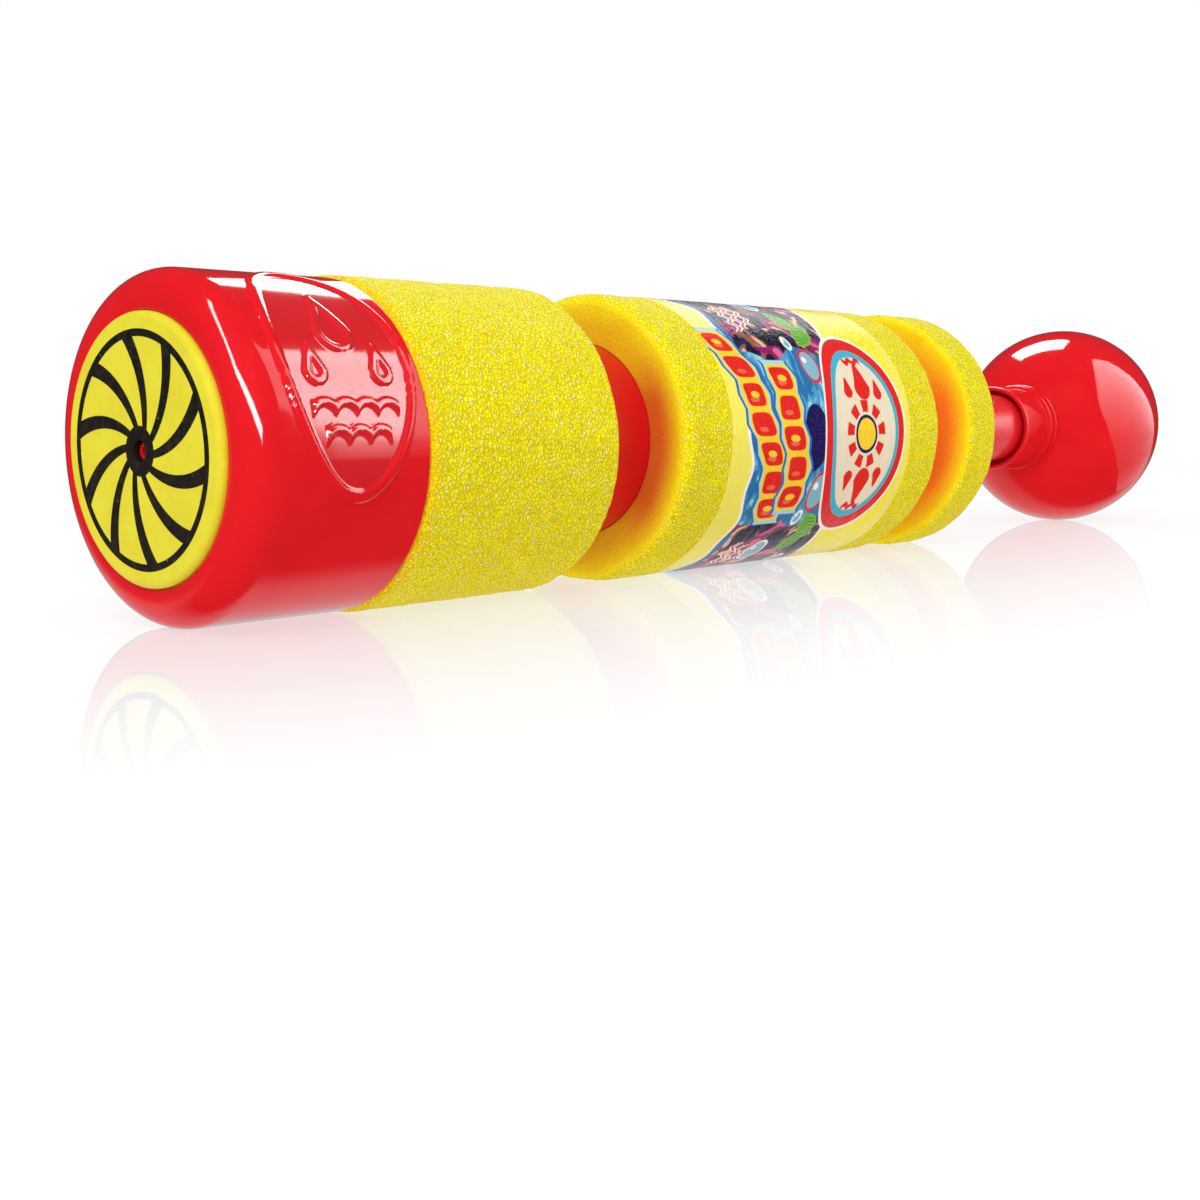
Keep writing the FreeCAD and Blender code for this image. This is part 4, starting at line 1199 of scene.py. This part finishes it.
MIDDLE = (0, 0, 0.03)
CAP_MIDDLE = (-0.16, 0, AXIS_Z)
KNOB_TARGET = (0.131, -0.001, 0.0525)
WINDOW_Y = -0.26
WINDOW_LEFT, WINDOW_RIGHT = 0.018, 0.44
# height and level of each row of the window that cap and barrel show
WINDOW_ROWS = ((0.0, 0.3), (0.045, 1.3), (0.07, 3.0), (0.10, 3.9), (0.2, 3.6), (0.34, 3.1), (0.60, 3.6))
KNOB_WINDOW_Y = -0.12
# height, left, right and level of each row of the window that knob and rod show
KNOB_WINDOW_ROWS = (
    (0.365, 0.238, 0.246, 8.0),
    (0.277, 0.185, 0.287, 8.0),
    (0.184, 0.134, 0.301, 8.0),
    (0.127, 0.113, 0.336, 6.5),
    (0.091, 0.104, 0.392, 5.0),
    (0.055, 0.107, 0.479, 3.4),
    (0.010, 0.128, 0.651, 1.4),
    (-0.048, 0.175, 0.90, 0.8),
    (-0.141, 0.296, 1.20, 1.0),
    (-0.337, 0.620, 1.60, 1.0),
)
# azimuth, elevation, width and level along the bright ribbon on the cap's front edge
LEFT_RIBBON = (
    (147, 69, 0.07, 24),
    (172, 47, 0.09, 34),
    (-177, 28, 0.12, 46),
    (-150, 22, 0.16, 50),
    (-122, 9, 0.16, 40),
)

make_floor()
make_world()
lamp("key", toward(-145, 42, 1.3), MIDDLE, 0.9, 0.9, 7.2, glossy=False)
lamp("fill", toward(60, 60, 1.3), MIDDLE, 0.9, 0.9, 1.0, glossy=False)
window = [([(x, WINDOW_Y, z) for x in (WINDOW_LEFT, WINDOW_RIGHT)], level) for z, level in WINDOW_ROWS]
glow_sheet("window", window, [cap, barrel])
knob_window = [
    ([(left + (right - left) * share, KNOB_WINDOW_Y, z) for share in (0.0, 0.5, 1.0)], level)
    for z, left, right, level in KNOB_WINDOW_ROWS
]
glow_sheet("window_knob", knob_window, [knob, rod])
top = lamp("top_cap", toward(41, 36, 0.9), CAP_MIDDLE, 0.42, 0.44, 4.5, diffuse=False)
shared_with(top, [cap])
strip = lamp("strip_knob", (0.387, 0.331, 0.734), KNOB_TARGET, 0.47, 0.31, 18.0, diffuse=False, roll=-31)
shared_with(strip, [knob, rod])
veil = lamp("veil", toward(42, 40, 1.0), MIDDLE, 0.9, 0.6, 3.5, diffuse=False)
shared_with(veil, [*sleeves, wrap])
glow_sheet("strip_left", ribbon_rows(CAP_MIDDLE, 0.8, LEFT_RIBBON), [cap])

# ---------------------------------------------------------------- camera

camera_data = bpy.data.cameras.new("camera")
camera_data.sensor_fit = "HORIZONTAL"
camera_data.sensor_width = 36.0
camera_data.lens = 46.587
camera_data.clip_start = 0.01
camera_data.clip_end = 20.0
camera = bpy.data.objects.new("camera", camera_data)
camera.location = (-0.31283, -0.22358, 0.03774)
HEADING, PITCH = math.radians(42.2733), math.radians(-7.354)
ahead = Vector((math.cos(HEADING) * math.cos(PITCH), math.sin(HEADING) * math.cos(PITCH), math.sin(PITCH)))
camera.rotation_euler = ahead.to_track_quat("-Z", "Y").to_euler()
bpy.context.scene.collection.objects.link(camera)
bpy.context.scene.camera = camera
bpy.context.scene.view_settings.view_transform = "Standard"
